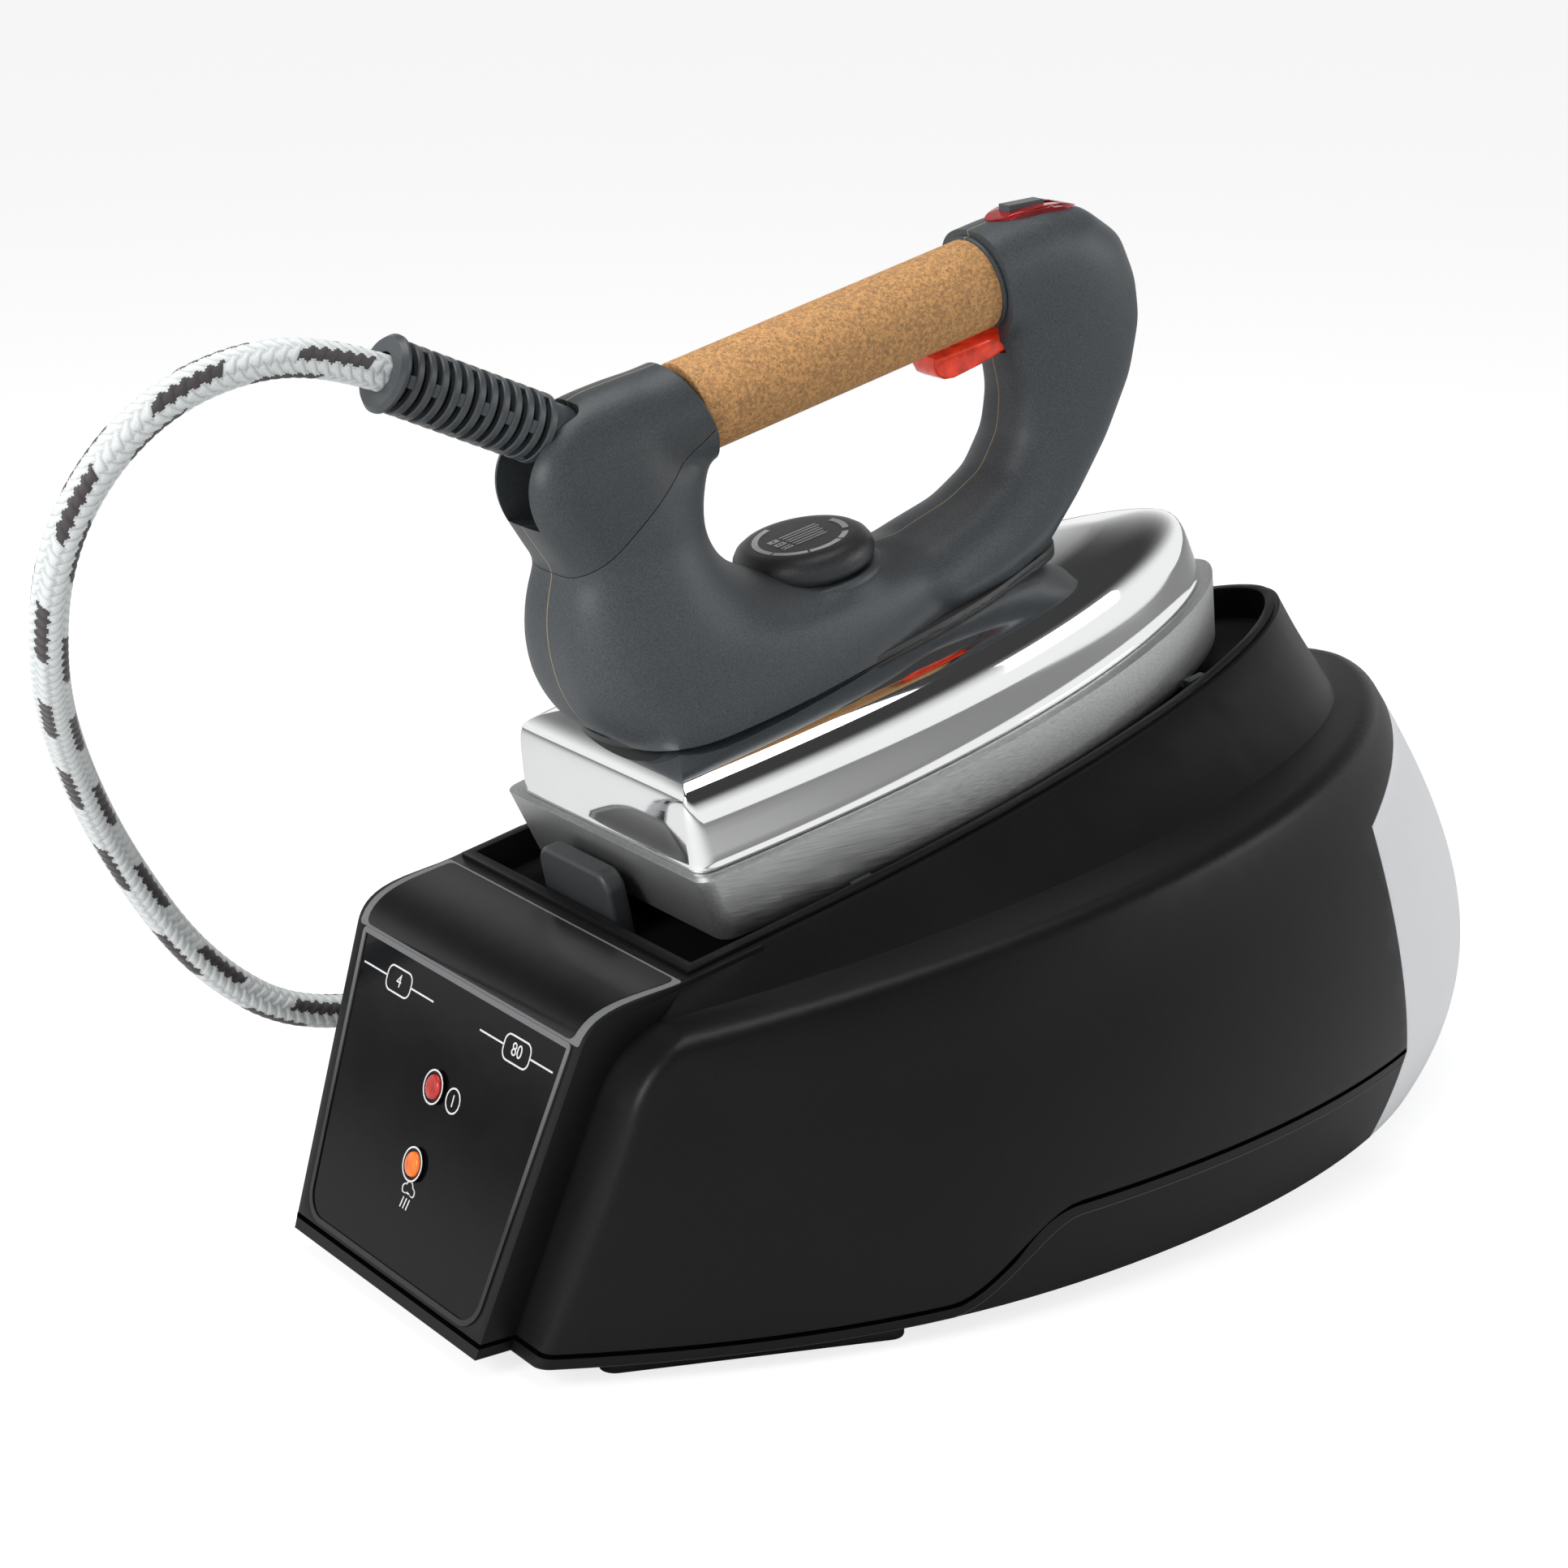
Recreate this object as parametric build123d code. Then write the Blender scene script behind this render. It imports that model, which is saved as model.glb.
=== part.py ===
from build123d import *
import os
from math import atan2, cos, degrees, hypot, pi, radians, sin, tan
from typing import NamedTuple

# Steam ironing station: an iron on the sloping cradle of a boiler base, joined by a steam hose.
# Millimetres. +X runs from the control panel to the water tank, -Y is the side seen in use, +Z is up.
# The origin lies on the floor under the middle of the base.

# Overall size of the base
BASE_LENGTH = 396.0
BASE_HALF_WIDTH = 109.0
WALL = 2.6
FLOOR_CLEARANCE = 6.0
JOINT_GAP = 0.4
FIT_GAP = 0.2
DRIVE_GAP = 0.1

# Plan outlines of the outer shell, as stations measured back from the foot of the panel
SHELL_FRONT = 4.0
SHELL_FRONT_HALF = 63.0
SHELL_FOOT_HALF = 106.5
SHELL_FOOT_SHORTER = 16.0
SHELL_WIDEST = 155.0
SHELL_SHARPNESS = 0.58
PARTING_HEIGHT = 36.0
SHOULDER_HEIGHT = 74.0
SHOULDER_TILT = 4.0
SHOULDER_HALF = 103.5
SHOULDER_WIDEST = 165.0
SHOULDER_SHORTER = 20.0
LEDGE_HEIGHT = 87.3
LEDGE_TILT = 7.8
LEDGE_HALF = 94.0
LEDGE_WIDEST = 180.0
LEDGE_SHORTER = 42.0
LEDGE_ROUNDING = 7.0
FRONT_SET_BACK = 11.0
FLANK_CORNER = 30.0
FLANK_EDGE = 5.0
FLANK_TOP_GAP = 0.8

# Front block with the control panel, and the deck that carries the iron
PANEL_LEAN = 18.9
PANEL_FOOT_HEIGHT = 9.0
PANEL_HEIGHT = 87.0
FRONT_FOOT_HALF = 52.0
FRONT_DECK_HALF = 62.5
BLOCK_RUN_IN = 24.0
DECK_FRONT = 60.6
DECK_FRONT_HEIGHT = 104.0
DECK_TILT = 12.2
CREASE_FRONT = 50.0
CREASE_FRONT_HALF = 63.0
CREASE_WIDEST = 160.0
CREASE_HALF = 78.0
CREASE_SHORTER = 56.0
CREASE_SHARPNESS = 0.47
RIM_HALF = 62.0
RIM_WIDEST = 40.0
RIM_LENGTH = 266.0
RIM_SHARPNESS = 0.56

# Line where the upper casing meets the tray: low in front, one step up behind the side
PARTING_FRONT_HEIGHT = 9.0
PARTING_STEP_START = 118.0
PARTING_STEP_END = 160.0
PARTING_REAR_HEIGHT = 31.0

# Control panel
PANEL_THICKNESS = 2.0
PANEL_FOOT_MARGIN = 4.0
PANEL_SIDE_MARGIN = 6.0
PANEL_CORNER = 8.0
TRIM_WIDTH = 1.6
TRIM_PROUD = 0.4
BAND_THICKNESS = 2.0
HALF_BAND_TURN = 40.0
BAND_MARGIN = 3.5
POWER_LAMP_UP = 56.5
STEAM_LAMP_UP = 34.0
LAMP_RADIUS = 3.7
BEZEL_RADIUS = 5.0
BEZEL_PROUD = 1.0
LAMP_STEM = 7.0
LENS_PROUD = 0.8
BOARD_THICKNESS = 1.6

# Iron rest tray sunk into the deck
TRAY_INSET = 3.6
TRAY_DEPTH = 9.0
TRAY_WALL = 1.4
TRAY_LIP = 1.8
TRAY_LIP_HEIGHT = 1.4
IRON_SETBACK = 16.1
IRON_SINK = 1.6
HEEL_GAP = 1.6
HEEL_STOP_HALF = 18.5
HEEL_STOP_SIDE = 5.5
HEEL_STOP_DEPTH = 6.4
HEEL_STOP_HEIGHT = 14.0
HEEL_STOP_ROUNDING = 3.0
PAD_LENGTH = 7.0
PAD_LIP_HEIGHT = 2.5
PAD_STATIONS = (48.0, 190.0)
PAD_REACH_IN = 12.0
PAD_SIDE_GAP = 1.0

# Water tank: the white rear of the base, drawn out backwards
TANK_FOOT_STATION = 99.0
TANK_WAIST_STATION = 82.0
TANK_SHOULDER_STATION = 97.0
TANK_SHOULDER_HEIGHT = 105.0
TANK_TOP_STATION = 44.0
TANK_TOP_HEIGHT = 127.0
TANK_WALL = 2.2
TANK_VALVE_RADIUS = 7.0
TANK_VALVE_LENGTH = 10.0
TANK_VALVE_HEIGHT = 22.0
TANK_VALVE_SIDE = 40.0
FILLER_RADIUS = 16.0
FILLER_HEIGHT = 80.0
FILLER_THICKNESS = 4.0
FILLER_LAND = 3.0
BULKHEAD_GAP = 4.5
SEAL_RADIUS = 10.0
SEAL_LENGTH = 14.0

# Boiler and what serves it
BOILER_RADIUS = 36.0
BOILER_LENGTH = 118.0
BOILER_WALL = 2.0
BOILER_EDGE = 8.0
BOILER_STATION = 145.0
BOILER_AXIS_HEIGHT = 58.0
SADDLE_THICKNESS = 8.0
SADDLE_HALF = 24.0
SADDLE_RISE = 12.0
SADDLE_INSET = 16.0
HEATER_FLANGE_RADIUS = 15.0
HEATER_FLANGE_THICKNESS = 4.0
HEATER_PLUG_RADIUS = 11.0
HEATER_DROP = 14.0
HEATER_ROD_RADIUS = 3.2
HEATER_ROD_SPREAD = 10.0
HEATER_REACH = 88.0
THERMOSTAT_RADIUS = 9.0
THERMOSTAT_HEIGHT = 7.0
THERMOSTAT_SIDE = 15.0
SAFETY_VALVE_RADIUS = 6.0
SAFETY_VALVE_RISE = 9.0
VALVE_LENGTH = 22.0
VALVE_HALF = 11.0
VALVE_RISE = 18.0
COIL_RADIUS = 11.0
COIL_HEIGHT = 16.0
PIPE_RADIUS = 3.5
PIPE_BORE_RADIUS = 2.3
TUBE_RUN = 24.0
TUBE_BEND = 12.0
FEED_RUN = 18.0
FEED_BEND = 8.0
FEED_SIDE = 24.0
FEED_DROP = 8.0
PUMP_RADIUS = 15.0
PUMP_LENGTH = 56.0
PUMP_STATION = 168.0
PUMP_SIDE = 66.0
PUMP_HEIGHT = 34.0
PUMP_NIPPLE_RADIUS = 3.5
PUMP_NIPPLE_LENGTH = 8.0
MOUNT_THICKNESS = 8.0
MOUNT_INSET = 10.0
MOUNT_HALF = 12.0
MOUNT_RISE = 4.0
MAIN_BOARD_STATION = 62.0
MAIN_BOARD_LENGTH = 46.0
MAIN_BOARD_HALF = 38.0
MAIN_BOARD_HEIGHT = 22.0
POST_RADIUS = 3.0
RELAY_SIZE = (20.0, 16.0, 15.0)
CAPACITOR_RADIUS = 6.0
CAPACITOR_HEIGHT = 18.0

# Glands, feet and screws of the base
GLAND_RADIUS = 7.0
GLAND_STATION = 72.0
GLAND_SIDE = 101.5
GLAND_LEG = 20.0
GLAND_HEIGHT = 46.0
GLAND_NOSE = 20.0
GLAND_SOCKET = 10.0
MAINS_GLAND_RADIUS = 6.0
MAINS_BORE_RADIUS = 3.5
MAINS_STATION = 80.0
MAINS_HEIGHT = 22.0
MAINS_GLAND_OUT = 3.0
MAINS_GLAND_IN = 8.0
SKID_WIDTH = 9.0
SKID_ENDS = ((34.0, 66.0), (106.0, 92.0))
REAR_FOOT_RADIUS = 8.0
REAR_FOOT_STATION = 235.0
REAR_FOOT_SIDE = 78.0
SCREW_RADIUS = 2.0
SCREW_LENGTH = 16.0
SCREW_HEAD_RADIUS = 3.8
SCREW_HEAD_HEIGHT = 2.0
CASING_POSTS = ((86.0, 70.0), (250.0, 74.0))
CASING_POST_RADIUS = 4.5

# Iron: soleplate, skirt and what lies between them
SOLE_LENGTH = 226.0
SOLE_HEEL_HALF = 52.0
SOLE_HALF = 55.0
SOLE_WIDEST = 62.0
SOLE_SHARPNESS = 0.62
SOLE_THICKNESS = 20.0
SOLE_UNDERCUT = 2.0
SOLE_HEEL_UNDERCUT = 4.5
SOLE_HEEL_ROUNDING = 5.0
CHAMBER_INSET = 25.0
CHAMBER_HEEL_INSET = 34.0
CHAMBER_TIP_INSET = 70.0
CHAMBER_FLOOR = 10.0
COVER_OVERLAP = 4.0
COVER_THICKNESS = 2.0
STEAM_HOLE_RADIUS = 1.6
STEAM_HOLE_ROWS = 7
STEAM_HOLE_MARGIN = 6.0
ELEMENT_RADIUS = 3.2
ELEMENT_SIDE = 38.0
ELEMENT_HEEL = 13.0
ELEMENT_TURN = 105.0
ELEMENT_TIP = 184.0
ELEMENT_TIP_HALF = 11.0
ELEMENT_DEPTH = 10.0
ELEMENT_RISE = 8.0
ELEMENT_BENDS = (7.0, 40.0, 9.0, 9.0, 40.0, 7.0)
SKIRT_HEIGHT = 27.0
SKIRT_WALL = 1.2
SKIRT_INSET = 4.5
SKIRT_HEEL_INSET = 2.5
SKIRT_TAPER = 2.5
SKIRT_HEEL_TAPER = 4.5
SKIRT_TOP_ROUNDING = 6.0
INSULATOR_THICKNESS = 2.0

# Handle, in the iron's own side view: stations from the heel and heights over the soleplate
HANDLE_FLOOR = 3.4
CAVITY_HALF = 11.5
CAVITY_FOOT = (13.0, 150.0)
CAVITY_FRONT = ((166.0, 64.0), (184.0, 84.0), (196.0, 108.0), (196.0, 124.0))
CAVITY_CEILING = (136.0, 188.0, 168.5)
CAVITY_INNER = ((166.5, 106.0), (158.5, 87.0), (142.0, 74.0), (112.0, 65.4), (70.0, 65.6), (54.0, 80.0),
                (48.5, 98.0), (51.0, 118.0), (44.5, 141.5))
CAVITY_REAR = ((20.0, 141.5), (8.0, 128.0), (13.0, 104.0))
CAP_LIP = (-5.0, 123.0)
CAP_CREST = (17.0, 145.5)
CAP_COLLAR_TOP = (47.0, 146.0)
CAP_COLLAR_FOOT = (57.0, 113.0)
CAP_SEAM = ((3.5, 99.0), (27.0, 111.0), (53.3, 125.2))
WINDOW_LINE = ((52.4, 98.0), (56.0, 79.0), (72.0, 69.5), (108.0, 69.0), (134.0, 73.5), (151.0, 86.0),
               (157.0, 101.0))
FRONT_COLLAR_FOOT = (158.0, 115.5)
FRONT_COLLAR_TOP = (157.0, 147.0)
BROW_LINE = ((170.0, 148.6), (186.0, 147.2), (203.0, 138.0), (212.4, 118.0), (209.0, 95.0), (196.0, 74.5))
FOOT_FRONT = 173.0
HEEL_CLEAR = -20.0
COLLAR_REACH = 12.0


class HandleLevel(NamedTuple):
    """Plan section of the handle at one height: round heel, widest station and rounded front."""

    height: float
    heel: float
    widest: float
    front: float
    half: float
    sharpness: float


HANDLE_HEEL_POWER = 0.66
HANDLE_LEVELS = (
    HandleLevel(0.0, 5.0, 45.0, 171.0, 31.0, 0.62),
    HandleLevel(13.0, -0.6, 40.0, 210.0, 27.0, 0.42),
    HandleLevel(26.0, -3.0, 36.0, 236.0, 22.0, 0.28),
    HandleLevel(39.0, -1.0, 34.0, 242.0, 19.5, 0.24),
    HandleLevel(51.0, 2.0, 34.0, 245.0, 18.0, 0.22),
    HandleLevel(75.0, -6.0, 34.0, 245.0, 17.2, 0.22),
    HandleLevel(103.0, -6.0, 34.0, 245.0, 16.4, 0.22),
)

# Grip, controls and hose end of the iron
CORK_RADIUS = 13.6
CORE_RADIUS = 8.0
CORE_BORE_RADIUS = 5.0
CORE_PLUG = 7.0
COLLAR_THICKNESS = 1.5
COLLAR_PROUD = 0.5
GRIP_REAR = (53.0, 128.4)
GRIP_FRONT = (157.6, 131.6)
TRIGGER_HALF = 6.0
TRIGGER_TOP = 116.6
TRIGGER_PIVOT = (167.0, 113.0)
TRIGGER_PIN_RADIUS = 1.5
TRIGGER_TIP = 135.0
TRIGGER_SWING = 4.0
TRIGGER_DEPTH = 7.6
TRIGGER_EYE = 4.0
TRIGGER_NECK = 12.0
TRIGGER_NECK_DEPTH = 5.5
TRIGGER_SIDE_GAP = 0.4
TRIGGER_SLOT_REAR = 130.0
TRIGGER_SLOT_TOP = 121.8
TRIGGER_PIN_HALF = 13.5
SPRING_WIRE_RADIUS = 0.25
SPRING_RADIUS = 2.4
SPRING_TURNS = 4
SPRING_STATION = 141.0
SWITCH_STATION = 179.0
SWITCH_SIZE = (14.0, 12.0, 9.0)
SWITCH_LEVER = 2.0
LOCK_STATION = 180.0
LOCK_HALF_LENGTH = 15.5
LOCK_HALF_WIDTH = 6.8
LOCK_PROUD = 0.8
LOCK_DEPTH = 2.4
LOCK_SLOT_HALF_LENGTH = 9.5
LOCK_SLOT_HALF_WIDTH = 2.6
LOCK_TRAVEL = 6.0
LOCK_TILT = 8.1
LOCK_CHORD_HEIGHT = 147.4
LOCK_SLIDER_LOW = -1.3
LOCK_SLIDER_HIGH = 2.6
DIAL_STATION = 83.0
DIAL_RADIUS = 20.5
DIAL_HEIGHT = 9.0
DIAL_ROUNDING = 3.5
DIAL_FOOT = 71.0
DIAL_SHAFT_RADIUS = 3.0
DIAL_SHAFT_GAP = 0.1
DIAL_COLLAR_DEPTH = 3.6
DIAL_GRIP_DEPTH = 5.0
IRON_THERMOSTAT_RADIUS = 13.0
IRON_THERMOSTAT_HEIGHT = 9.0
STEAM_TUBE_RADIUS = 3.0
STEAM_TUBE_BORE = 2.0
STEAM_TUBE_STATION = 44.0
STEAM_TUBE_KNEE = 98.0
STEAM_TUBE_END = (34.0, 113.0)
STEAM_TUBE_BEND = 10.0
TERMINAL_STATION = 23.0
TERMINAL_SIZE = (18.0, 18.0, 9.0)
IRON_SCREW_STATIONS = (40.0, 120.0)
IRON_SCREW_SIDE = 9.0
SKIRT_HOLE_RADIUS = 4.0
INSULATOR_INSET = 1.5
RELIEF_TILT = 36.0
RELIEF_PIVOT = (21.0, 129.0)
RELIEF_LENGTH = 67.0
RELIEF_ROOT_RADIUS = 9.0
RELIEF_RIB_RADIUS = 9.8
RELIEF_GROOVE_RADIUS = 7.6
RELIEF_RIBS = 16
RELIEF_RIB_SHARE = 0.62
RELIEF_RIB_START = 14.0
RELIEF_FLANGE_RADIUS = 11.0
RELIEF_FLANGE = 6.0
RELIEF_SOCKET = 10.0
RELIEF_SWING = 10.0
RELIEF_SLOT_GAP = 0.7
RELIEF_EYE_RADIUS = 8.0
RELIEF_EYE_HALF = 10.5
SWIVEL_PIN_RADIUS = 2.5
SWIVEL_PIN_HALF = 13.5
PIN_GAP = 0.05

# Steam hose: route points as stations, sides and heights, from the strain relief to the gland
HOSE_RADIUS = 5.0
HOSE_SOCKET_GAP = 0.35
HOSE_FIRST_RUN = 17.3
HOSE_UPPER_ROUTE = ((-22.0, 2.0, 271.0), (-48.0, 5.0, 264.0))
HOSE_LOWER_ROUTE = ((-66.0, 11.0, 247.0), (-76.0, 20.0, 222.0), (-71.0, 40.0, 188.0), (-53.0, 74.0, 154.0),
                    (-30.0, 97.0, 113.0), (-2.0, 103.0, 70.0))
HOSE_LAST_RUN = 30.0
HOSE_ARC_SHARE = 0.45

# Derived places of the base
FRONT_LIP = (PANEL_FOOT_HEIGHT - FLOOR_CLEARANCE) * tan(radians(PANEL_LEAN))
FRONT_SPREAD = (FRONT_DECK_HALF - FRONT_FOOT_HALF) / (DECK_FRONT_HEIGHT - PANEL_FOOT_HEIGHT)
FRONT_X = (FRONT_LIP - BASE_LENGTH) / 2
REAR_X = FRONT_X + BASE_LENGTH
FLOOR_TOP = FLOOR_CLEARANCE + WALL
OUTLINE_STEPS = 5
FAR = 300.0


class Outline(NamedTuple):
    """Plan outline of a boat shape: a blunt front, one widest station and a rounded rear point."""

    front: float
    front_half: float
    widest: float
    half: float
    rear: float
    sharpness: float

    def inset(self, side, front=None, rear=None):
        """The same outline drawn in by a distance at its sides, front and rear."""
        return Outline(
            self.front + (side if front is None else front),
            self.front_half - side,
            self.widest,
            self.half - side,
            self.rear - (side if rear is None else rear),
            self.sharpness,
        )

    def half_width(self, x):
        """Half width at a station."""
        if x < self.widest:
            share = (self.widest - x) / (self.widest - self.front)
            return self.half - (self.half - self.front_half) * share**2
        share = min(1.0, (x - self.widest) / (self.rear - self.widest))
        return self.half * (1 - share**2) ** self.sharpness

    def points(self):
        """Points of the far half, from the front corner to the rear point."""
        ahead = [self.front + (self.widest - self.front) * i / OUTLINE_STEPS for i in range(OUTLINE_STEPS)]
        spread = 2 * OUTLINE_STEPS
        behind = [
            self.widest + (self.rear - self.widest) * sin(pi / 2 * i / spread) for i in range(spread + 1)
        ]
        return [(x, self.half_width(x)) for x in ahead + behind]


def boat_face(outline):
    """Face of a boat outline on the ground plane."""
    half = outline.points()
    loop = half + [(x, -y) for x, y in reversed(half[:-1])]
    return make_face([Spline(*loop), Line(loop[-1], loop[0])])


def boat_block(outline, low, high, plane):
    """Straight-walled boat shape between two heights over a plane."""
    return extrude(plane.offset(low) * boat_face(outline), amount=high - low)


def tilted(x, z, tilt):
    """Plane through a point of the middle plane, its X axis raised by a tilt in degrees."""
    a = radians(tilt)
    return Plane(origin=(x, 0, z), x_dir=(cos(a), 0, sin(a)), z_dir=(-sin(a), 0, cos(a)))


def side_prism(wires, half_width):
    """Closed side-view outline carried across the middle plane to both sides."""
    return extrude(Plane.XZ * make_face(wires), amount=half_width, both=True)


def side_polygon(points, half_width):
    """Straight-sided form of side_prism."""
    return side_prism([Polyline(*points, close=True)], half_width)


def at(x, y, z):
    """Location of a point that is measured back from the foot of the panel."""
    return Pos(FRONT_X + x, y, z)


def rod_x(radius, start, length, y, z):
    """Round rod along X from a station of the base."""
    return at(start + length / 2, y, z) * Rot(0, 90, 0) * Cylinder(radius, length)


def mirrored_pair(solid):
    """A solid and its mirror image across the middle plane."""
    return [solid, mirror(solid, about=Plane.XZ)]


def tube(points, radii, radius, bore=0.0):
    """Round tube along straight runs joined by tangent arcs."""
    path = FilletPolyline(*points, radius=radii)
    start = path ^ 0
    section = Circle(radius) - Circle(bore) if bore else Circle(radius)
    return sweep(Plane(start.position, z_dir=path % 0) * section, path=path)


# Planes and outlines of the base
DECK = tilted(FRONT_X + DECK_FRONT, DECK_FRONT_HEIGHT, DECK_TILT)
LEDGE = tilted(FRONT_X, LEDGE_HEIGHT, LEDGE_TILT)
SHOULDER = tilted(FRONT_X, SHOULDER_HEIGHT, SHOULDER_TILT)
GROUND = Plane(origin=(FRONT_X, 0, 0))
SHELL_PARTING = Outline(
    SHELL_FRONT, SHELL_FRONT_HALF, SHELL_WIDEST, BASE_HALF_WIDTH, BASE_LENGTH, SHELL_SHARPNESS
)
SHELL_FOOT = Outline(
    SHELL_FRONT, SHELL_FRONT_HALF, SHELL_WIDEST, SHELL_FOOT_HALF,
    BASE_LENGTH - SHELL_FOOT_SHORTER, SHELL_SHARPNESS,
)
SHELL_SHOULDER = Outline(
    SHELL_FRONT, SHELL_FRONT_HALF, SHOULDER_WIDEST, SHOULDER_HALF,
    BASE_LENGTH - SHOULDER_SHORTER, SHELL_SHARPNESS,
)
SHELL_LEDGE = Outline(
    SHELL_FRONT, SHELL_FRONT_HALF, LEDGE_WIDEST, LEDGE_HALF, BASE_LENGTH - LEDGE_SHORTER, SHELL_SHARPNESS
)
CREASE = Outline(
    CREASE_FRONT, CREASE_FRONT_HALF, CREASE_WIDEST, CREASE_HALF,
    BASE_LENGTH - CREASE_SHORTER, CREASE_SHARPNESS,
)
RIM = Outline(0.0, RIM_HALF, RIM_WIDEST, RIM_HALF, RIM_LENGTH, RIM_SHARPNESS)


def panel_plane():
    """Plane of the control panel: X to the near side, Y up the slope, facing the user."""
    a = radians(PANEL_LEAN)
    return Plane(origin=(FRONT_X, 0, PANEL_FOOT_HEIGHT), x_dir=(0, -1, 0), z_dir=(-cos(a), 0, sin(a)))


def front_limit(inset):
    """Everything behind a plane that leans like the panel and turns back into the ledge by a large arc."""
    lean = tan(radians(PANEL_LEAN))
    slope = tan(radians(LEDGE_TILT))
    foot = FRONT_X + FRONT_SET_BACK + inset - PANEL_FOOT_HEIGHT * lean
    top = LEDGE_HEIGHT + FLANK_TOP_GAP - inset
    corner_height = (top + slope * (foot - FRONT_X)) / (1 - slope * lean)
    corner = (foot + corner_height * lean, corner_height)
    far_top = (FAR, top + slope * (FAR - FRONT_X))
    face = make_face([Polyline((foot, 0), corner, far_top, (FAR, 0), close=True)])
    turn = face.vertices().sort_by(lambda v: hypot(v.X - corner[0], v.Y - corner[1]))[0]
    return extrude(Plane.XZ * fillet([turn], FLANK_CORNER - inset), amount=FAR, both=True)


def outer_shell(inset=0.0):
    """Rounded outer body up to the ledge, drawn in by a wall thickness for its hollow."""
    sections = [
        GROUND.offset(FLOOR_CLEARANCE + inset) * boat_face(SHELL_FOOT.inset(inset, 0)),
        GROUND.offset(PARTING_HEIGHT) * boat_face(SHELL_PARTING.inset(inset, 0)),
        SHOULDER * boat_face(SHELL_SHOULDER.inset(inset, 0)),
        LEDGE.offset(-inset) * boat_face(SHELL_LEDGE.inset(inset, 0)),
    ]
    body = loft(sections)
    if inset:
        return body & front_limit(inset)
    top_edges = body.edges().filter_by(lambda e: abs(LEDGE.to_local_coords(e.center()).Z) < 0.5)
    body = fillet(top_edges, LEDGE_ROUNDING) & front_limit(0.0)
    turned = [f for f in body.faces().filter_by(GeomType.CYLINDER) if abs(f.radius - FLANK_CORNER) < 0.01]
    leaning = [f for f in body.faces().filter_by(GeomType.PLANE) if f.normal_at().X < -0.9]
    front_edges = [e for f in turned + leaning for e in f.edges() if abs((e % 0.5).Y) < 0.9]
    return fillet(front_edges, FLANK_EDGE)


def flank(inset=0.0):
    """Sloping flank from the crease on the ledge up to the rim of the deck."""
    low = LEDGE.offset(-inset - WALL) * boat_face(CREASE.inset(inset, 0))
    high = DECK.offset(-inset) * boat_face(RIM.inset(inset, 0))
    return loft([low, high])


def front_block(inset=0.0):
    """Wedge that carries the panel, with its glossy band curving back into the deck."""
    lean = tan(radians(PANEL_LEAN))
    slope = tan(radians(DECK_TILT))
    low = FLOOR_CLEARANCE + inset
    face_x = FRONT_X + inset / cos(radians(PANEL_LEAN))
    foot = (face_x + (low - PANEL_FOOT_HEIGHT) * lean, low)
    rise = PANEL_HEIGHT * cos(radians(PANEL_LEAN))
    brow = (face_x + rise * lean, PANEL_FOOT_HEIGHT + rise)
    deck_edge = (FRONT_X + DECK_FRONT, DECK_FRONT_HEIGHT - inset)
    back = deck_edge[0] + BLOCK_RUN_IN
    wires = [
        Line(foot, brow),
        Spline(brow, deck_edge, tangents=[(lean, 1), (1, slope)]),
        Polyline(deck_edge, (back, deck_edge[1] + BLOCK_RUN_IN * slope), (back, low), foot),
    ]
    low_half = FRONT_FOOT_HALF - inset - PANEL_FOOT_HEIGHT * FRONT_SPREAD
    high_half = low_half + FAR * FRONT_SPREAD
    sides = Polyline((-low_half, 0), (low_half, 0), (high_half, FAR), (-high_half, FAR), close=True)
    taper = extrude(Plane.YZ * make_face(sides), amount=FAR, both=True)
    return side_prism(wires, FAR) & taper


def below_parting():
    """Everything under the line where the casing meets the tray."""
    low = PARTING_FRONT_HEIGHT
    high = PARTING_REAR_HEIGHT
    start = (FRONT_X + PARTING_STEP_START, low)
    end = (FRONT_X + PARTING_STEP_END, high)
    wires = [
        Polyline(end, (FAR, high), (FAR, -FAR), (-FAR, -FAR), (-FAR, low), start),
        Spline(start, end, tangents=[(1, 0), (1, 0)]),
    ]
    return side_prism(wires, FAR)


def tank_region(inset=0.0):
    """Rear part of the base that belongs to the water tank, drawn in by a gap or a wall."""
    outline = Polyline(
        (REAR_X - TANK_FOOT_STATION, 0),
        (REAR_X - TANK_WAIST_STATION, PARTING_REAR_HEIGHT),
        (REAR_X - TANK_SHOULDER_STATION, TANK_SHOULDER_HEIGHT),
        (REAR_X - TANK_TOP_STATION, TANK_TOP_HEIGHT),
        (FAR, TANK_TOP_HEIGHT),
        (FAR, 0),
        close=True,
    )
    face = make_face([outline])
    if inset:
        face = offset(face, amount=-inset, kind=Kind.INTERSECTION)
    return extrude(Plane.XZ * face, amount=FAR, both=True)


def base_outside():
    """Whole outside of the base as one block."""
    return outer_shell() + flank() + front_block()


def base_hollow():
    """Space inside the walls of the base."""
    return outer_shell(WALL) + flank(WALL) + front_block(WALL)


def panel_face():
    """Outline of the glossy panel on its plane, with rounded lower corners."""
    rise = FRONT_SPREAD * cos(radians(PANEL_LEAN))
    foot = PANEL_FOOT_MARGIN
    top = PANEL_HEIGHT - TRIM_WIDTH
    foot_half = FRONT_FOOT_HALF - PANEL_SIDE_MARGIN + foot * rise
    top_half = FRONT_FOOT_HALF - PANEL_SIDE_MARGIN + top * rise
    outline = Polyline((-foot_half, foot), (foot_half, foot), (top_half, top), (-top_half, top), close=True)
    face = make_face([outline])
    return fillet(face.vertices().filter_by(lambda v: v.Y < PANEL_HEIGHT / 2), PANEL_CORNER)


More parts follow.
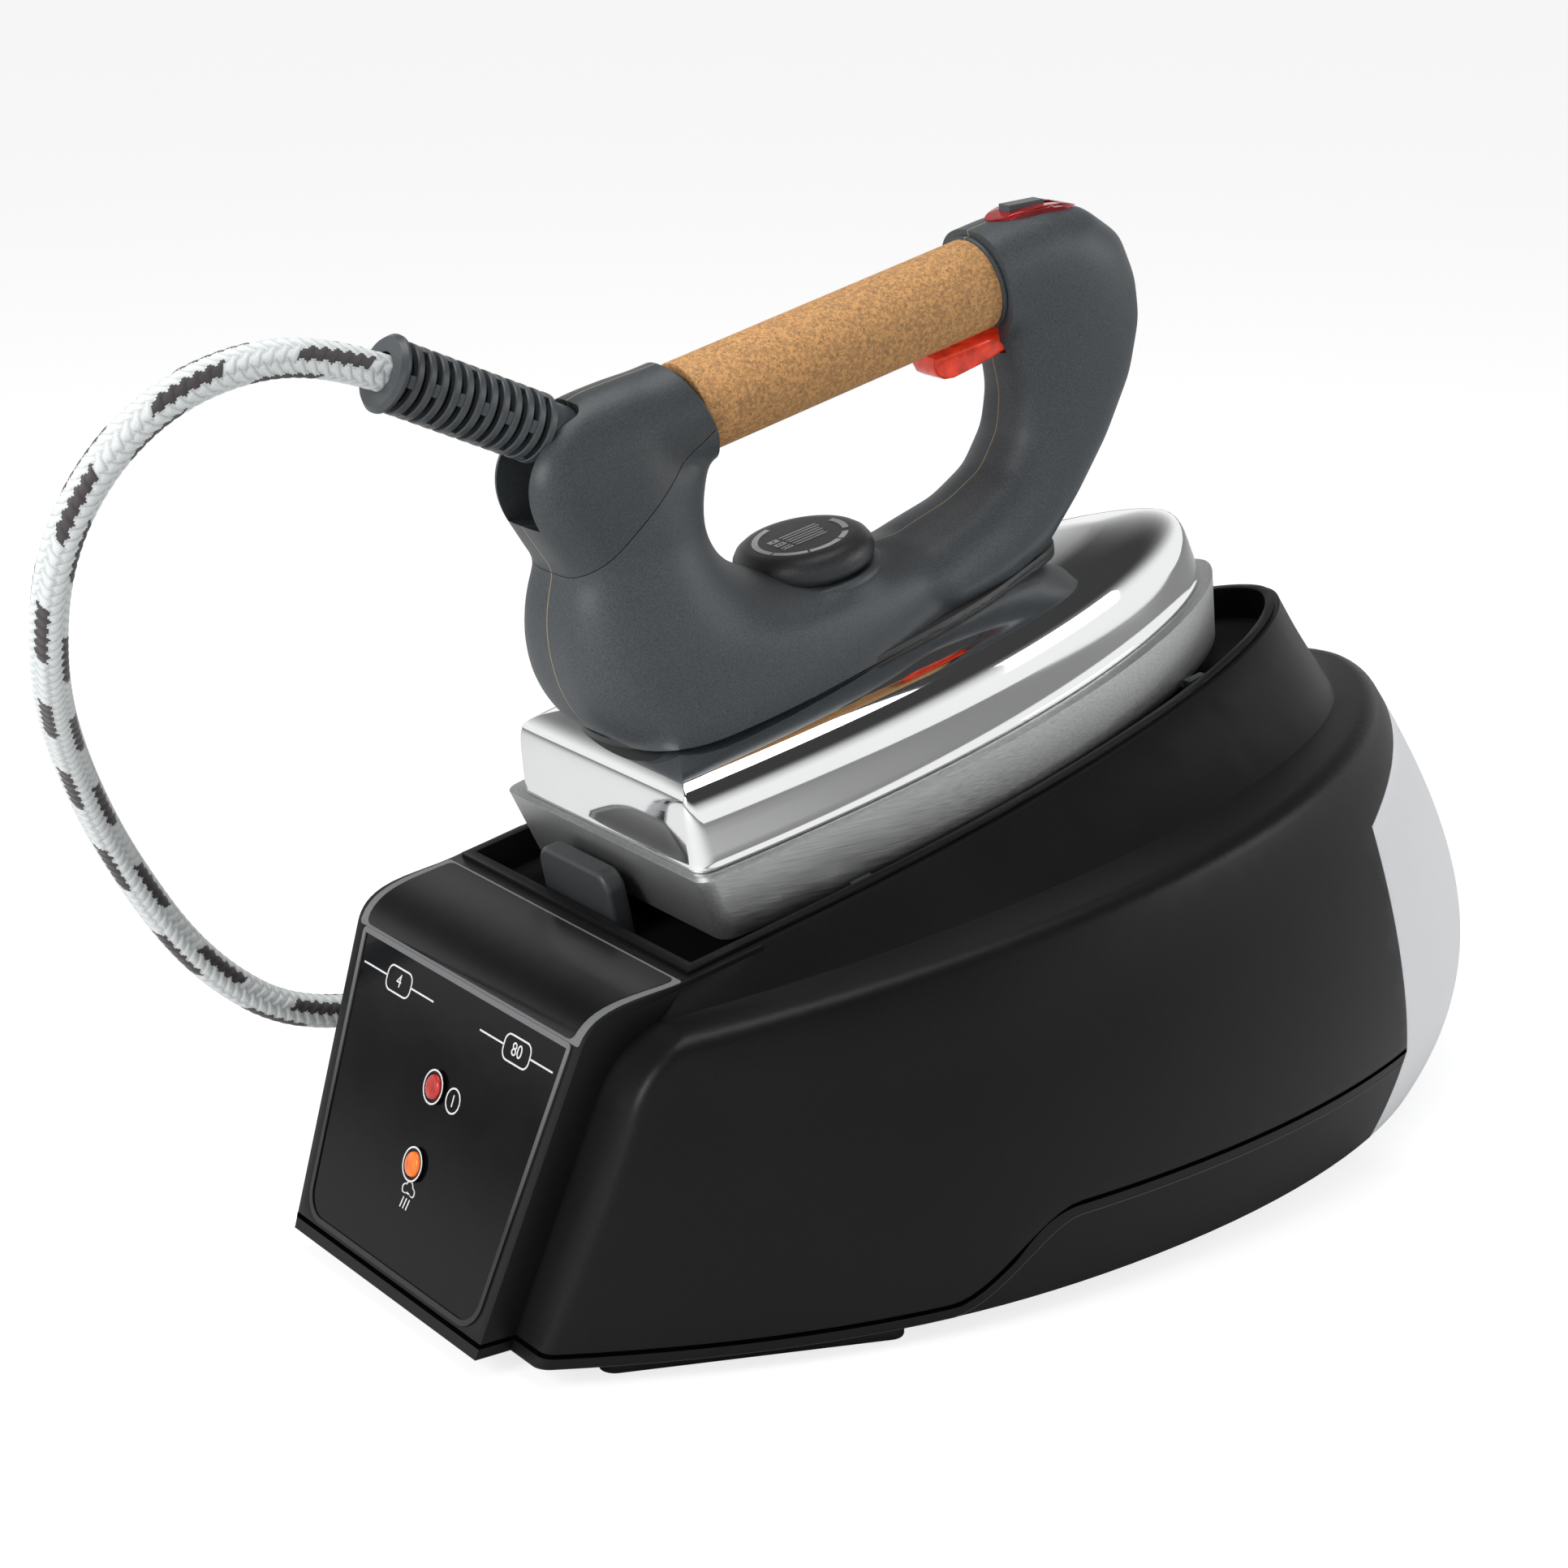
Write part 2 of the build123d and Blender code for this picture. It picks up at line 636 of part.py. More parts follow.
def band_strip(thickness):
    """Curved strip of the front block above the panel, from its surface to a depth."""
    block = front_block()
    turn = radians(HALF_BAND_TURN)
    lowered = Pos(thickness * sin(turn), 0, -thickness * cos(turn)) * block
    brow_height = PANEL_FOOT_HEIGHT + PANEL_HEIGHT * cos(radians(PANEL_LEAN)) + TRIM_WIDTH
    window = side_polygon(
        [(FRONT_X, brow_height), (FRONT_X, FAR), (FRONT_X + DECK_FRONT - BAND_MARGIN, FAR),
         (FRONT_X + DECK_FRONT - BAND_MARGIN, brow_height)],
        FRONT_DECK_HALF - BAND_MARGIN,
    )
    return (block - lowered) & window


# Frame of the iron: X along the soleplate from heel to tip, Z away from the soleplate
IRON = Plane(DECK.from_local_coords(Vector(IRON_SETBACK, 0, -IRON_SINK)), x_dir=DECK.x_dir, z_dir=DECK.z_dir)
SOLE_TOP_OUTLINE = Outline(0.0, SOLE_HEEL_HALF, SOLE_WIDEST, SOLE_HALF, SOLE_LENGTH, SOLE_SHARPNESS)
SOLE_FOOT_OUTLINE = SOLE_TOP_OUTLINE.inset(SOLE_UNDERCUT, SOLE_HEEL_UNDERCUT)
CHAMBER_OUTLINE = SOLE_TOP_OUTLINE.inset(CHAMBER_INSET, CHAMBER_HEEL_INSET, CHAMBER_TIP_INSET)
SKIRT_FOOT = SOLE_TOP_OUTLINE.inset(SKIRT_INSET, SKIRT_HEEL_INSET)
SKIRT_TOP = SKIRT_FOOT.inset(SKIRT_TAPER, SKIRT_HEEL_TAPER)
SKIRT_TOP_HEIGHT = SOLE_THICKNESS + SKIRT_HEIGHT
HANDLE_FOOT = SKIRT_TOP_HEIGHT + INSULATOR_THICKNESS


def handle_level_face(level, inset=0.0):
    """Closed rounded plan of one handle level, drawn in by a margin."""
    heel_run = level.widest - level.heel - inset
    front_run = level.front - inset - level.widest
    half = level.half - inset
    loop = []
    for i in range(4 * OUTLINE_STEPS):
        turn = pi / 2 * (i + 0.5) / OUTLINE_STEPS
        run = front_run if cos(turn) > 0 else heel_run
        power = 2 * level.sharpness if cos(turn) > 0 else HANDLE_HEEL_POWER
        width = half * abs(sin(turn)) ** power
        loop.append((level.widest + run * cos(turn), width if sin(turn) > 0 else -width))
    return make_face([Spline(*loop, periodic=True)])


def handle_width_body():
    """Loft of the plan sections, wide at the foot and slim at the grip."""
    sections = []
    for level in HANDLE_LEVELS:
        sections.append(Plane.XY.offset(HANDLE_FOOT + level.height) * handle_level_face(level))
    return loft(sections)


def handle_side_face():
    """Side outline of the handle without the grip: open heel, cap, window, front column and foot."""
    drop = CAP_LIP[0] - HEEL_CLEAR
    foot_front = (FOOT_FRONT, HANDLE_FOOT)
    return make_face([
        Polyline((HEEL_CLEAR, HANDLE_FOOT), (HEEL_CLEAR, CAP_LIP[1] - drop), CAP_CREST, CAP_COLLAR_TOP,
                 CAP_COLLAR_FOOT),
        Spline(CAP_COLLAR_FOOT, *WINDOW_LINE, FRONT_COLLAR_FOOT),
        Line(FRONT_COLLAR_FOOT, FRONT_COLLAR_TOP),
        Spline(FRONT_COLLAR_TOP, *BROW_LINE, foot_front),
        Line(foot_front, (HEEL_CLEAR, HANDLE_FOOT)),
    ])


def handle_outside():
    """Whole outside of the handle without the grip."""
    return extrude(Plane.XZ * handle_side_face(), amount=FAR, both=True) & handle_width_body()


def handle_cavity():
    """Space inside the handle for wires, tube and switch."""
    floor = HANDLE_FOOT + HANDLE_FLOOR
    ceiling, front, rear = CAVITY_CEILING
    outline = [(CAVITY_FOOT[0], floor), (CAVITY_FOOT[1], floor), *CAVITY_FRONT]
    outline += [(front, ceiling), (rear, ceiling), *CAVITY_INNER, *CAVITY_REAR]
    return side_polygon(outline, CAVITY_HALF)


def cap_region():
    """Everything above the seam between the handle shells and the rear cap."""
    rear, middle, front = CAP_SEAM
    beyond = (HEEL_CLEAR, rear[1] + (HEEL_CLEAR - rear[0]) * (middle[1] - rear[1]) / (middle[0] - rear[0]))
    over = (front[0] + COLLAR_REACH, front[1])
    outline = Polyline(beyond, rear, middle, front, over, (over[0], FAR), (HEEL_CLEAR, FAR), close=True)
    return side_prism([outline], FAR)


def grip_frame():
    """Plane across the grip at its rear end, its Z axis along the grip."""
    run = (GRIP_FRONT[0] - GRIP_REAR[0], GRIP_FRONT[1] - GRIP_REAR[1])
    return Plane((GRIP_REAR[0], 0, GRIP_REAR[1]), x_dir=(0, 1, 0), z_dir=(run[0], 0, run[1]))


def grip_length():
    """Length of the grip between the two collars along its axis."""
    return hypot(GRIP_FRONT[0] - GRIP_REAR[0], GRIP_FRONT[1] - GRIP_REAR[1])


def grip_rod(radius, rear_reach, front_reach):
    """Rod along the grip's axis that runs past the collars by two reaches."""
    length = grip_length() + rear_reach + front_reach
    return extrude(grip_frame().offset(-rear_reach) * Circle(radius), amount=length)


def between_collars(gap=0.0):
    """Space between the slanted rear collar and the front collar, short of both by a gap."""
    (rear_top, rear_foot) = (CAP_COLLAR_TOP, CAP_COLLAR_FOOT)
    slant = (rear_top[0] - rear_foot[0]) / (rear_top[1] - rear_foot[1])
    lean = (FRONT_COLLAR_TOP[0] - FRONT_COLLAR_FOOT[0]) / (FRONT_COLLAR_TOP[1] - FRONT_COLLAR_FOOT[1])
    low = rear_foot[1] - CORK_RADIUS
    high = rear_top[1] + CORK_RADIUS
    rear = rear_foot[0] + gap
    front = FRONT_COLLAR_FOOT[0] - gap
    return side_polygon(
        [(rear + (low - rear_foot[1]) * slant, low), (rear + (high - rear_foot[1]) * slant, high),
         (front + (high - FRONT_COLLAR_FOOT[1]) * lean, high),
         (front + (low - FRONT_COLLAR_FOOT[1]) * lean, low)],
        FAR,
    )


def trigger_side():
    """Side outline of the steam trigger, from its fingertip curve to the pivot eye."""
    pivot_u, pivot_w = TRIGGER_PIVOT
    drop = TRIGGER_TOP - TRIGGER_DEPTH
    return [
        Polyline((pivot_u + TRIGGER_EYE, pivot_w), (pivot_u + TRIGGER_EYE, TRIGGER_TOP),
                 (TRIGGER_TIP, TRIGGER_TOP), (TRIGGER_TIP + 1, TRIGGER_TOP - TRIGGER_DEPTH / 2)),
        Spline((TRIGGER_TIP + 1, TRIGGER_TOP - TRIGGER_DEPTH / 2), (TRIGGER_TIP + TRIGGER_DEPTH, drop),
               (pivot_u - TRIGGER_NECK, TRIGGER_TOP - TRIGGER_NECK_DEPTH)),
        Polyline((pivot_u - TRIGGER_NECK, TRIGGER_TOP - TRIGGER_NECK_DEPTH),
                 (pivot_u, pivot_w - TRIGGER_EYE), (pivot_u + TRIGGER_EYE, pivot_w)),
    ]


def tank_front_frame(height):
    """Plane on the tank's front wall above its waist, facing the boiler, at a height."""
    run = TANK_SHOULDER_STATION - TANK_WAIST_STATION
    climb = TANK_SHOULDER_HEIGHT - PARTING_REAR_HEIGHT
    x = REAR_X - TANK_WAIST_STATION - run * (height - PARTING_REAR_HEIGHT) / climb
    return Plane((x, 0, height), x_dir=(0, 1, 0), z_dir=(-climb, 0, -run))


def tank_foot_station(height):
    """Station of the tank's front wall below its waist, measured from the panel."""
    share = height / PARTING_REAR_HEIGHT
    return BASE_LENGTH - TANK_FOOT_STATION + share * (TANK_FOOT_STATION - TANK_WAIST_STATION)


def casing_and_tray(outside, gland):
    """Upper casing and base tray, cut from the walls of the base."""
    hollow = base_hollow()
    bay = tank_region(-BULKHEAD_GAP)
    bulkhead = (tank_region(-BULKHEAD_GAP - WALL) - bay) & hollow
    walls = outside - hollow + bulkhead
    walls -= bay & hollow
    walls -= tank_region(-JOINT_GAP)
    walls -= rod_x(SEAL_RADIUS, tank_foot_station(TANK_VALVE_HEIGHT) - SEAL_LENGTH, 2 * SEAL_LENGTH,
                   TANK_VALVE_SIDE, TANK_VALVE_HEIGHT)
    lower = below_parting()
    tray = walls & lower
    casing = walls - lower
    casing -= boat_block(RIM.inset(TRAY_INSET), -TRAY_DEPTH, TRAY_DEPTH, DECK)
    panel = panel_plane()
    casing -= extrude(panel * offset(panel_face(), TRIM_WIDTH), amount=-PANEL_THICKNESS)
    for up in (POWER_LAMP_UP, STEAM_LAMP_UP):
        casing -= extrude(panel * Pos(0, up) * Circle(LAMP_RADIUS), amount=-LAMP_STEM)
    casing -= band_strip(BAND_THICKNESS)
    casing -= [gland, mains_rod(MAINS_GLAND_RADIUS)]
    for x, y in CASING_POSTS:
        ledge = LEDGE_HEIGHT + x * tan(radians(LEDGE_TILT)) - WALL / 2
        for side in (-1, 1):
            post = at(x, side * y, (FLOOR_TOP + ledge) / 2) * Cylinder(CASING_POST_RADIUS, ledge - FLOOR_TOP)
            casing += post
            hole = at(x, side * y, FLOOR_CLEARANCE) * Cylinder(SCREW_RADIUS + DRIVE_GAP, 2 * SCREW_LENGTH)
            casing -= hole
            tray -= hole
    post_y = MAIN_BOARD_HALF - 2 * POST_RADIUS
    root = FLOOR_TOP - WALL / 2
    for x in (MAIN_BOARD_STATION + 2 * POST_RADIUS, MAIN_BOARD_STATION + MAIN_BOARD_LENGTH - 2 * POST_RADIUS):
        for y in (-post_y, post_y):
            tray += at(x, y, (root + MAIN_BOARD_HEIGHT) / 2) * Cylinder(POST_RADIUS, MAIN_BOARD_HEIGHT - root)
    return casing, tray


def panel_pieces():
    """Panel, its trim, the upper band, the two lamps with bezels and their board."""
    panel = panel_plane()
    face = panel_face()
    plate = extrude(panel * face, amount=-PANEL_THICKNESS)
    trim = extrude(panel.offset(-PANEL_THICKNESS) * (offset(face, TRIM_WIDTH) - face),
                   amount=PANEL_THICKNESS + TRIM_PROUD)
    bezels = []
    lenses = []
    for up in (POWER_LAMP_UP, STEAM_LAMP_UP):
        spot = panel * Pos(0, up)
        plate -= extrude(spot * Circle(LAMP_RADIUS), amount=-LAMP_STEM)
        ring = Circle(BEZEL_RADIUS) - Circle(LAMP_RADIUS)
        bezels.append(extrude(spot * ring, amount=BEZEL_PROUD))
        deep = panel.offset(-LAMP_STEM) * Pos(0, up)
        lens_length = LAMP_STEM + BEZEL_PROUD + LENS_PROUD
        lenses.append(extrude(deep * Circle(LAMP_RADIUS - DRIVE_GAP), amount=lens_length))
    middle = (POWER_LAMP_UP + STEAM_LAMP_UP) / 2
    reach = POWER_LAMP_UP - STEAM_LAMP_UP + 4 * LAMP_RADIUS
    board = extrude(panel.offset(-LAMP_STEM) * Pos(0, middle) * Rectangle(6 * LAMP_RADIUS, reach),
                    amount=-BOARD_THICKNESS)
    return {
        "control_panel": plate,
        "panel_trim": trim,
        "panel_band": band_strip(BAND_THICKNESS),
        "power_lamp_lens": lenses[0],
        "steam_lamp_lens": lenses[1],
        "lamp_bezels": Compound(children=bezels),
        "lamp_board": board,
    }


def cradle_pieces():
    """Rest tray sunk into the deck, the heel stop and the pads that the soleplate stands on."""
    outer = RIM.inset(TRAY_INSET + FIT_GAP)
    inner = outer.inset(TRAY_WALL)
    tray = boat_block(outer, -TRAY_DEPTH - TRAY_WALL, 0, DECK)
    tray += boat_block(outer.inset(-TRAY_LIP), 0, TRAY_LIP_HEIGHT, DECK)
    tray -= boat_block(inner, -TRAY_DEPTH, TRAY_DEPTH, DECK)
    floor = IRON_SINK - TRAY_DEPTH
    stop = Pos(-HEEL_GAP - HEEL_STOP_DEPTH / 2, HEEL_STOP_SIDE, (floor + HEEL_STOP_HEIGHT) / 2) * Box(
        HEEL_STOP_DEPTH, 2 * HEEL_STOP_HALF, HEEL_STOP_HEIGHT - floor)
    stop = fillet(stop.edges().filter_by(Axis.X).group_by(Axis.Z)[-1], HEEL_STOP_ROUNDING * 2)
    stop = fillet(stop.faces().sort_by(Axis.Z)[-1].edges().filter_by(Axis.Y), HEEL_STOP_ROUNDING / 2)
    pads = []
    for station in PAD_STATIONS:
        edge = SOLE_FOOT_OUTLINE.half_width(station - PAD_LENGTH / 2)
        wall = inner.half_width(station + IRON_SETBACK + PAD_LENGTH / 2)
        seat = Pos(station, (edge + wall - PAD_REACH_IN) / 2, floor / 2) * Box(
            PAD_LENGTH, wall - edge + PAD_REACH_IN, -floor)
        lip = Pos(station, (edge + PAD_SIDE_GAP + wall) / 2, (floor + PAD_LIP_HEIGHT) / 2) * Box(
            PAD_LENGTH, wall - edge - PAD_SIDE_GAP, PAD_LIP_HEIGHT - floor)
        pads += mirrored_pair(seat + lip)
    return {
        "iron_rest_tray": tray,
        "heel_stop": IRON.location * stop,
        "rest_pads": Compound(children=[IRON.location * pad for pad in pads]),
    }


def tank_pieces(outside):
    """Water tank with its outlet valve, filler cap and the seal in the bulkhead."""
    space = tank_region()
    tank = outside & space
    tank -= outer_shell(TANK_WALL) & tank_region(TANK_WALL)
    valve_x = tank_foot_station(TANK_VALVE_HEIGHT)
    valve = rod_x(TANK_VALVE_RADIUS, valve_x - TANK_VALVE_LENGTH, 2 * TANK_VALVE_LENGTH,
                  TANK_VALVE_SIDE, TANK_VALVE_HEIGHT)
    valve -= rod_x(PIPE_BORE_RADIUS, valve_x - TANK_VALVE_LENGTH, 2 * TANK_VALVE_LENGTH,
                   TANK_VALVE_SIDE, TANK_VALVE_HEIGHT)
    tank -= rod_x(TANK_VALVE_RADIUS, valve_x - TANK_VALVE_LENGTH, 2 * TANK_VALVE_LENGTH,
                  TANK_VALVE_SIDE, TANK_VALVE_HEIGHT)
    frame = tank_front_frame(FILLER_HEIGHT)
    tank -= extrude(frame * Circle(FILLER_RADIUS - FILLER_LAND), amount=-2 * TANK_WALL)
    filler = extrude(frame * Circle(FILLER_RADIUS), amount=FILLER_THICKNESS)
    filler += extrude(frame * Circle(FILLER_RADIUS - FILLER_LAND - DRIVE_GAP), amount=-2 * TANK_WALL)
    seal = rod_x(SEAL_RADIUS, valve_x - SEAL_LENGTH, 2 * SEAL_LENGTH, TANK_VALVE_SIDE, TANK_VALVE_HEIGHT)
    seal -= [
        tank_region(-BULKHEAD_GAP / 2),
        rod_x(TANK_VALVE_RADIUS + JOINT_GAP, valve_x - TANK_VALVE_LENGTH - JOINT_GAP, 2 * SEAL_LENGTH,
              TANK_VALVE_SIDE, TANK_VALVE_HEIGHT),
        rod_x(PIPE_BORE_RADIUS, valve_x - SEAL_LENGTH, SEAL_LENGTH, TANK_VALVE_SIDE, TANK_VALVE_HEIGHT),
    ]
    return {"water_tank": tank, "tank_valve": valve, "tank_filler_cap": filler, "tank_seal": seal}


def boiler_pieces():
    """Boiler on its saddles with heater, sensors, valves and the solenoid on its front end."""
    end = BOILER_STATION + BOILER_LENGTH
    axis = BOILER_AXIS_HEIGHT
    drum = rod_x(BOILER_RADIUS, BOILER_STATION, BOILER_LENGTH, 0, axis)
    shell = fillet(drum.edges().filter_by(GeomType.CIRCLE), BOILER_EDGE)
    inside = BOILER_LENGTH - 2 * BOILER_WALL
    cavity = rod_x(BOILER_RADIUS - BOILER_WALL, BOILER_STATION + BOILER_WALL, inside, 0, axis)
    shell -= fillet(cavity.edges().filter_by(GeomType.CIRCLE), BOILER_EDGE - BOILER_WALL)
    plug_z = axis - HEATER_DROP
    plug = rod_x(HEATER_PLUG_RADIUS, BOILER_STATION, BOILER_WALL, 0, plug_z)
    shell -= plug
    rods_y = HEATER_ROD_SPREAD / 2
    start = (FRONT_X + BOILER_STATION + BOILER_WALL, plug_z)
    bend = (start[0] + HEATER_REACH, plug_z)
    rods = tube([(start[0], -rods_y, plug_z), (bend[0], -rods_y, plug_z), (bend[0], rods_y, plug_z),
                 (start[0], rods_y, plug_z)], rods_y * 0.99, HEATER_ROD_RADIUS)
    heater = plug + rods
    flange = BOILER_STATION - HEATER_FLANGE_THICKNESS
    heater += rod_x(HEATER_FLANGE_RADIUS, flange, HEATER_FLANGE_THICKNESS, 0, plug_z)
    saddles = []
    for x in (BOILER_STATION + SADDLE_INSET, end - SADDLE_INSET):
        top = axis - BOILER_RADIUS + SADDLE_RISE
        block = at(x, 0, (FLOOR_TOP + top) / 2) * Box(SADDLE_THICKNESS, 2 * SADDLE_HALF, top - FLOOR_TOP)
        saddles.append(block - drum)
    sensors = []
    for side in (-THERMOSTAT_SIDE, THERMOSTAT_SIDE):
        sensors.append(rod_x(THERMOSTAT_RADIUS, end, THERMOSTAT_HEIGHT, side, axis))
    safety_top = axis + BOILER_RADIUS + SAFETY_VALVE_RISE
    safety = at(BOILER_STATION + BOILER_LENGTH / 2, 0, (axis + safety_top) / 2) * Cylinder(
        SAFETY_VALVE_RADIUS, safety_top - axis)
    valve_z = axis + VALVE_RISE
    valve = at(BOILER_STATION - VALVE_LENGTH / 2, 0, valve_z) * Box(
        VALVE_LENGTH, 2 * VALVE_HALF, 2 * VALVE_HALF)
    coil = at(BOILER_STATION - VALVE_LENGTH / 2, 0, valve_z + VALVE_HALF + COIL_HEIGHT / 2) * Cylinder(
        COIL_RADIUS, COIL_HEIGHT)
    return {
        "boiler_shell": shell,
        "boiler_heater": heater,
        "boiler_saddles": Compound(children=saddles),
        "boiler_sensors": Compound(children=sensors),
        "safety_valve": safety - drum,
        "solenoid_valve": valve,
        "solenoid_coil": coil,
    }


def plumbing_pieces(leg_end):
    """Pump on its mounts, the water tubes and the steam pipe to the hose gland."""
    pump_end = PUMP_STATION + PUMP_LENGTH
    barrel = rod_x(PUMP_RADIUS, PUMP_STATION, PUMP_LENGTH, PUMP_SIDE, PUMP_HEIGHT)
    pump = barrel + rod_x(PUMP_NIPPLE_RADIUS, PUMP_STATION - PUMP_NIPPLE_LENGTH,
                          PUMP_LENGTH + 2 * PUMP_NIPPLE_LENGTH, PUMP_SIDE, PUMP_HEIGHT)
    mounts = []
    for x in (PUMP_STATION + MOUNT_INSET, pump_end - MOUNT_INSET):
        top = PUMP_HEIGHT - PUMP_RADIUS + MOUNT_RISE
        block = at(x, PUMP_SIDE, (FLOOR_TOP + top) / 2) * Box(
            MOUNT_THICKNESS, 2 * MOUNT_HALF, top - FLOOR_TOP)
        mounts.append(block - barrel)
    seal_x = FRONT_X + tank_foot_station(TANK_VALVE_HEIGHT) - SEAL_LENGTH
    inlet_x = FRONT_X + pump_end + PUMP_NIPPLE_LENGTH
    feed = tube([(seal_x, TANK_VALVE_SIDE, TANK_VALVE_HEIGHT),
                 (seal_x - TUBE_RUN, TANK_VALVE_SIDE, TANK_VALVE_HEIGHT),
                 (inlet_x + TUBE_RUN, PUMP_SIDE, PUMP_HEIGHT), (inlet_x, PUMP_SIDE, PUMP_HEIGHT)],
                TUBE_BEND, PIPE_RADIUS, PIPE_BORE_RADIUS)
    outlet_x = FRONT_X + PUMP_STATION - PUMP_NIPPLE_LENGTH
    boiler_x = FRONT_X + BOILER_STATION
    boiler_z = BOILER_AXIS_HEIGHT - FEED_DROP
    filler = tube([(outlet_x, PUMP_SIDE, PUMP_HEIGHT), (boiler_x - FEED_RUN, PUMP_SIDE, PUMP_HEIGHT),
                   (boiler_x - FEED_RUN, FEED_SIDE, boiler_z), (boiler_x, FEED_SIDE, boiler_z)],
                  FEED_BEND, PIPE_RADIUS, PIPE_BORE_RADIUS)
    valve_x = boiler_x - VALVE_LENGTH
    valve_z = BOILER_AXIS_HEIGHT + VALVE_RISE
    steam = tube([(valve_x, 0, valve_z), (valve_x - TUBE_RUN, 0, valve_z),
                  (FRONT_X + GLAND_STATION, leg_end - TUBE_RUN, GLAND_HEIGHT),
                  (FRONT_X + GLAND_STATION, leg_end, GLAND_HEIGHT)], TUBE_BEND, PIPE_RADIUS, PIPE_BORE_RADIUS)
    return {
        "water_pump": pump,
        "pump_mounts": Compound(children=mounts),
        "water_feed_tube": feed,
        "boiler_feed_tube": filler,
        "steam_pipe": steam,
    }


def board_piece():
    """Control board on its posts, with a relay and a capacitor."""
    middle = MAIN_BOARD_STATION + MAIN_BOARD_LENGTH / 2
    top = MAIN_BOARD_HEIGHT + BOARD_THICKNESS
    board = at(middle, 0, MAIN_BOARD_HEIGHT + BOARD_THICKNESS / 2) * Box(
        MAIN_BOARD_LENGTH, 2 * MAIN_BOARD_HALF, BOARD_THICKNESS)
    board += at(middle, -MAIN_BOARD_HALF / 2, top + RELAY_SIZE[2] / 2) * Box(*RELAY_SIZE)
    board += at(middle, MAIN_BOARD_HALF / 2, top + CAPACITOR_HEIGHT / 2) * Cylinder(
        CAPACITOR_RADIUS, CAPACITOR_HEIGHT)
    return board


def hose_gland(leg_end):
    """Elbow on the far side wall: a leg through the wall and a nose that points forward."""
    leg = Pos(FRONT_X + GLAND_STATION, (leg_end + GLAND_SIDE) / 2, GLAND_HEIGHT) * Rot(90, 0, 0) * Cylinder(
        GLAND_RADIUS, GLAND_SIDE - leg_end)
    elbow = Pos(FRONT_X + GLAND_STATION, GLAND_SIDE, GLAND_HEIGHT) * Sphere(GLAND_RADIUS)
    nose = rod_x(GLAND_RADIUS, GLAND_STATION - GLAND_NOSE, GLAND_NOSE, GLAND_SIDE, GLAND_HEIGHT)
    socket = rod_x(HOSE_RADIUS, GLAND_STATION - GLAND_NOSE, GLAND_SOCKET, GLAND_SIDE, GLAND_HEIGHT)
    return leg + elbow + nose - socket


def mains_rod(radius):
    """Round rod through the far side wall where a mains lead would enter."""
    wall = SHELL_PARTING.half_width(MAINS_STATION)
    length = MAINS_GLAND_IN + MAINS_GLAND_OUT
    place = at(MAINS_STATION, wall + (MAINS_GLAND_OUT - MAINS_GLAND_IN) / 2, MAINS_HEIGHT)
    return place * Rot(90, 0, 0) * Cylinder(radius, length)


def feet_and_screws():
    """Front skids and rear feet, and the screws that hold the tray to the casing posts."""
    feet = []
    (x1, y1), (x2, y2) = SKID_ENDS
    skid = SlotCenterToCenter(hypot(x2 - x1, y2 - y1), SKID_WIDTH)
    turn = Rot(0, 0, degrees(atan2(y2 - y1, x2 - x1)))
    feet += mirrored_pair(extrude(at((x1 + x2) / 2, (y1 + y2) / 2, 0) * turn * skid, amount=FLOOR_CLEARANCE))
    rear = at(REAR_FOOT_STATION, REAR_FOOT_SIDE, FLOOR_CLEARANCE / 2) * Cylinder(
        REAR_FOOT_RADIUS, FLOOR_CLEARANCE)
    feet += mirrored_pair(rear)
    screws = []
    for x, y in CASING_POSTS:
        head = at(x, y, FLOOR_CLEARANCE - SCREW_HEAD_HEIGHT / 2) * Cylinder(
            SCREW_HEAD_RADIUS, SCREW_HEAD_HEIGHT)
        shank = at(x, y, FLOOR_CLEARANCE + SCREW_LENGTH / 2 - DRIVE_GAP) * Cylinder(
            SCREW_RADIUS, SCREW_LENGTH - DRIVE_GAP)
        screws += mirrored_pair(head + shank)
    return {"base_feet": Compound(children=feet), "base_screws": Compound(children=screws)}


def upright(radius, low, high, u, y=0.0):
    """Round rod square to the soleplate at a station of the iron."""
    return Pos(u, y, (low + high) / 2) * Cylinder(radius, high - low)


def across(radius, half, u, w):
    """Round rod from side to side of the iron."""
    return Pos(u, 0, w) * Rot(90, 0, 0) * Cylinder(radius, 2 * half)


def block(u, half, low, high, length):
    """Box on the iron's middle plane, between two heights."""
    return Pos(u, 0, (low + high) / 2) * Box(length, 2 * half, high - low)


def screw_spots():
    """Places of the screws that hold the handle on the skirt."""
    return [(u, side * IRON_SCREW_SIDE) for u in IRON_SCREW_STATIONS for side in (-1, 1)]


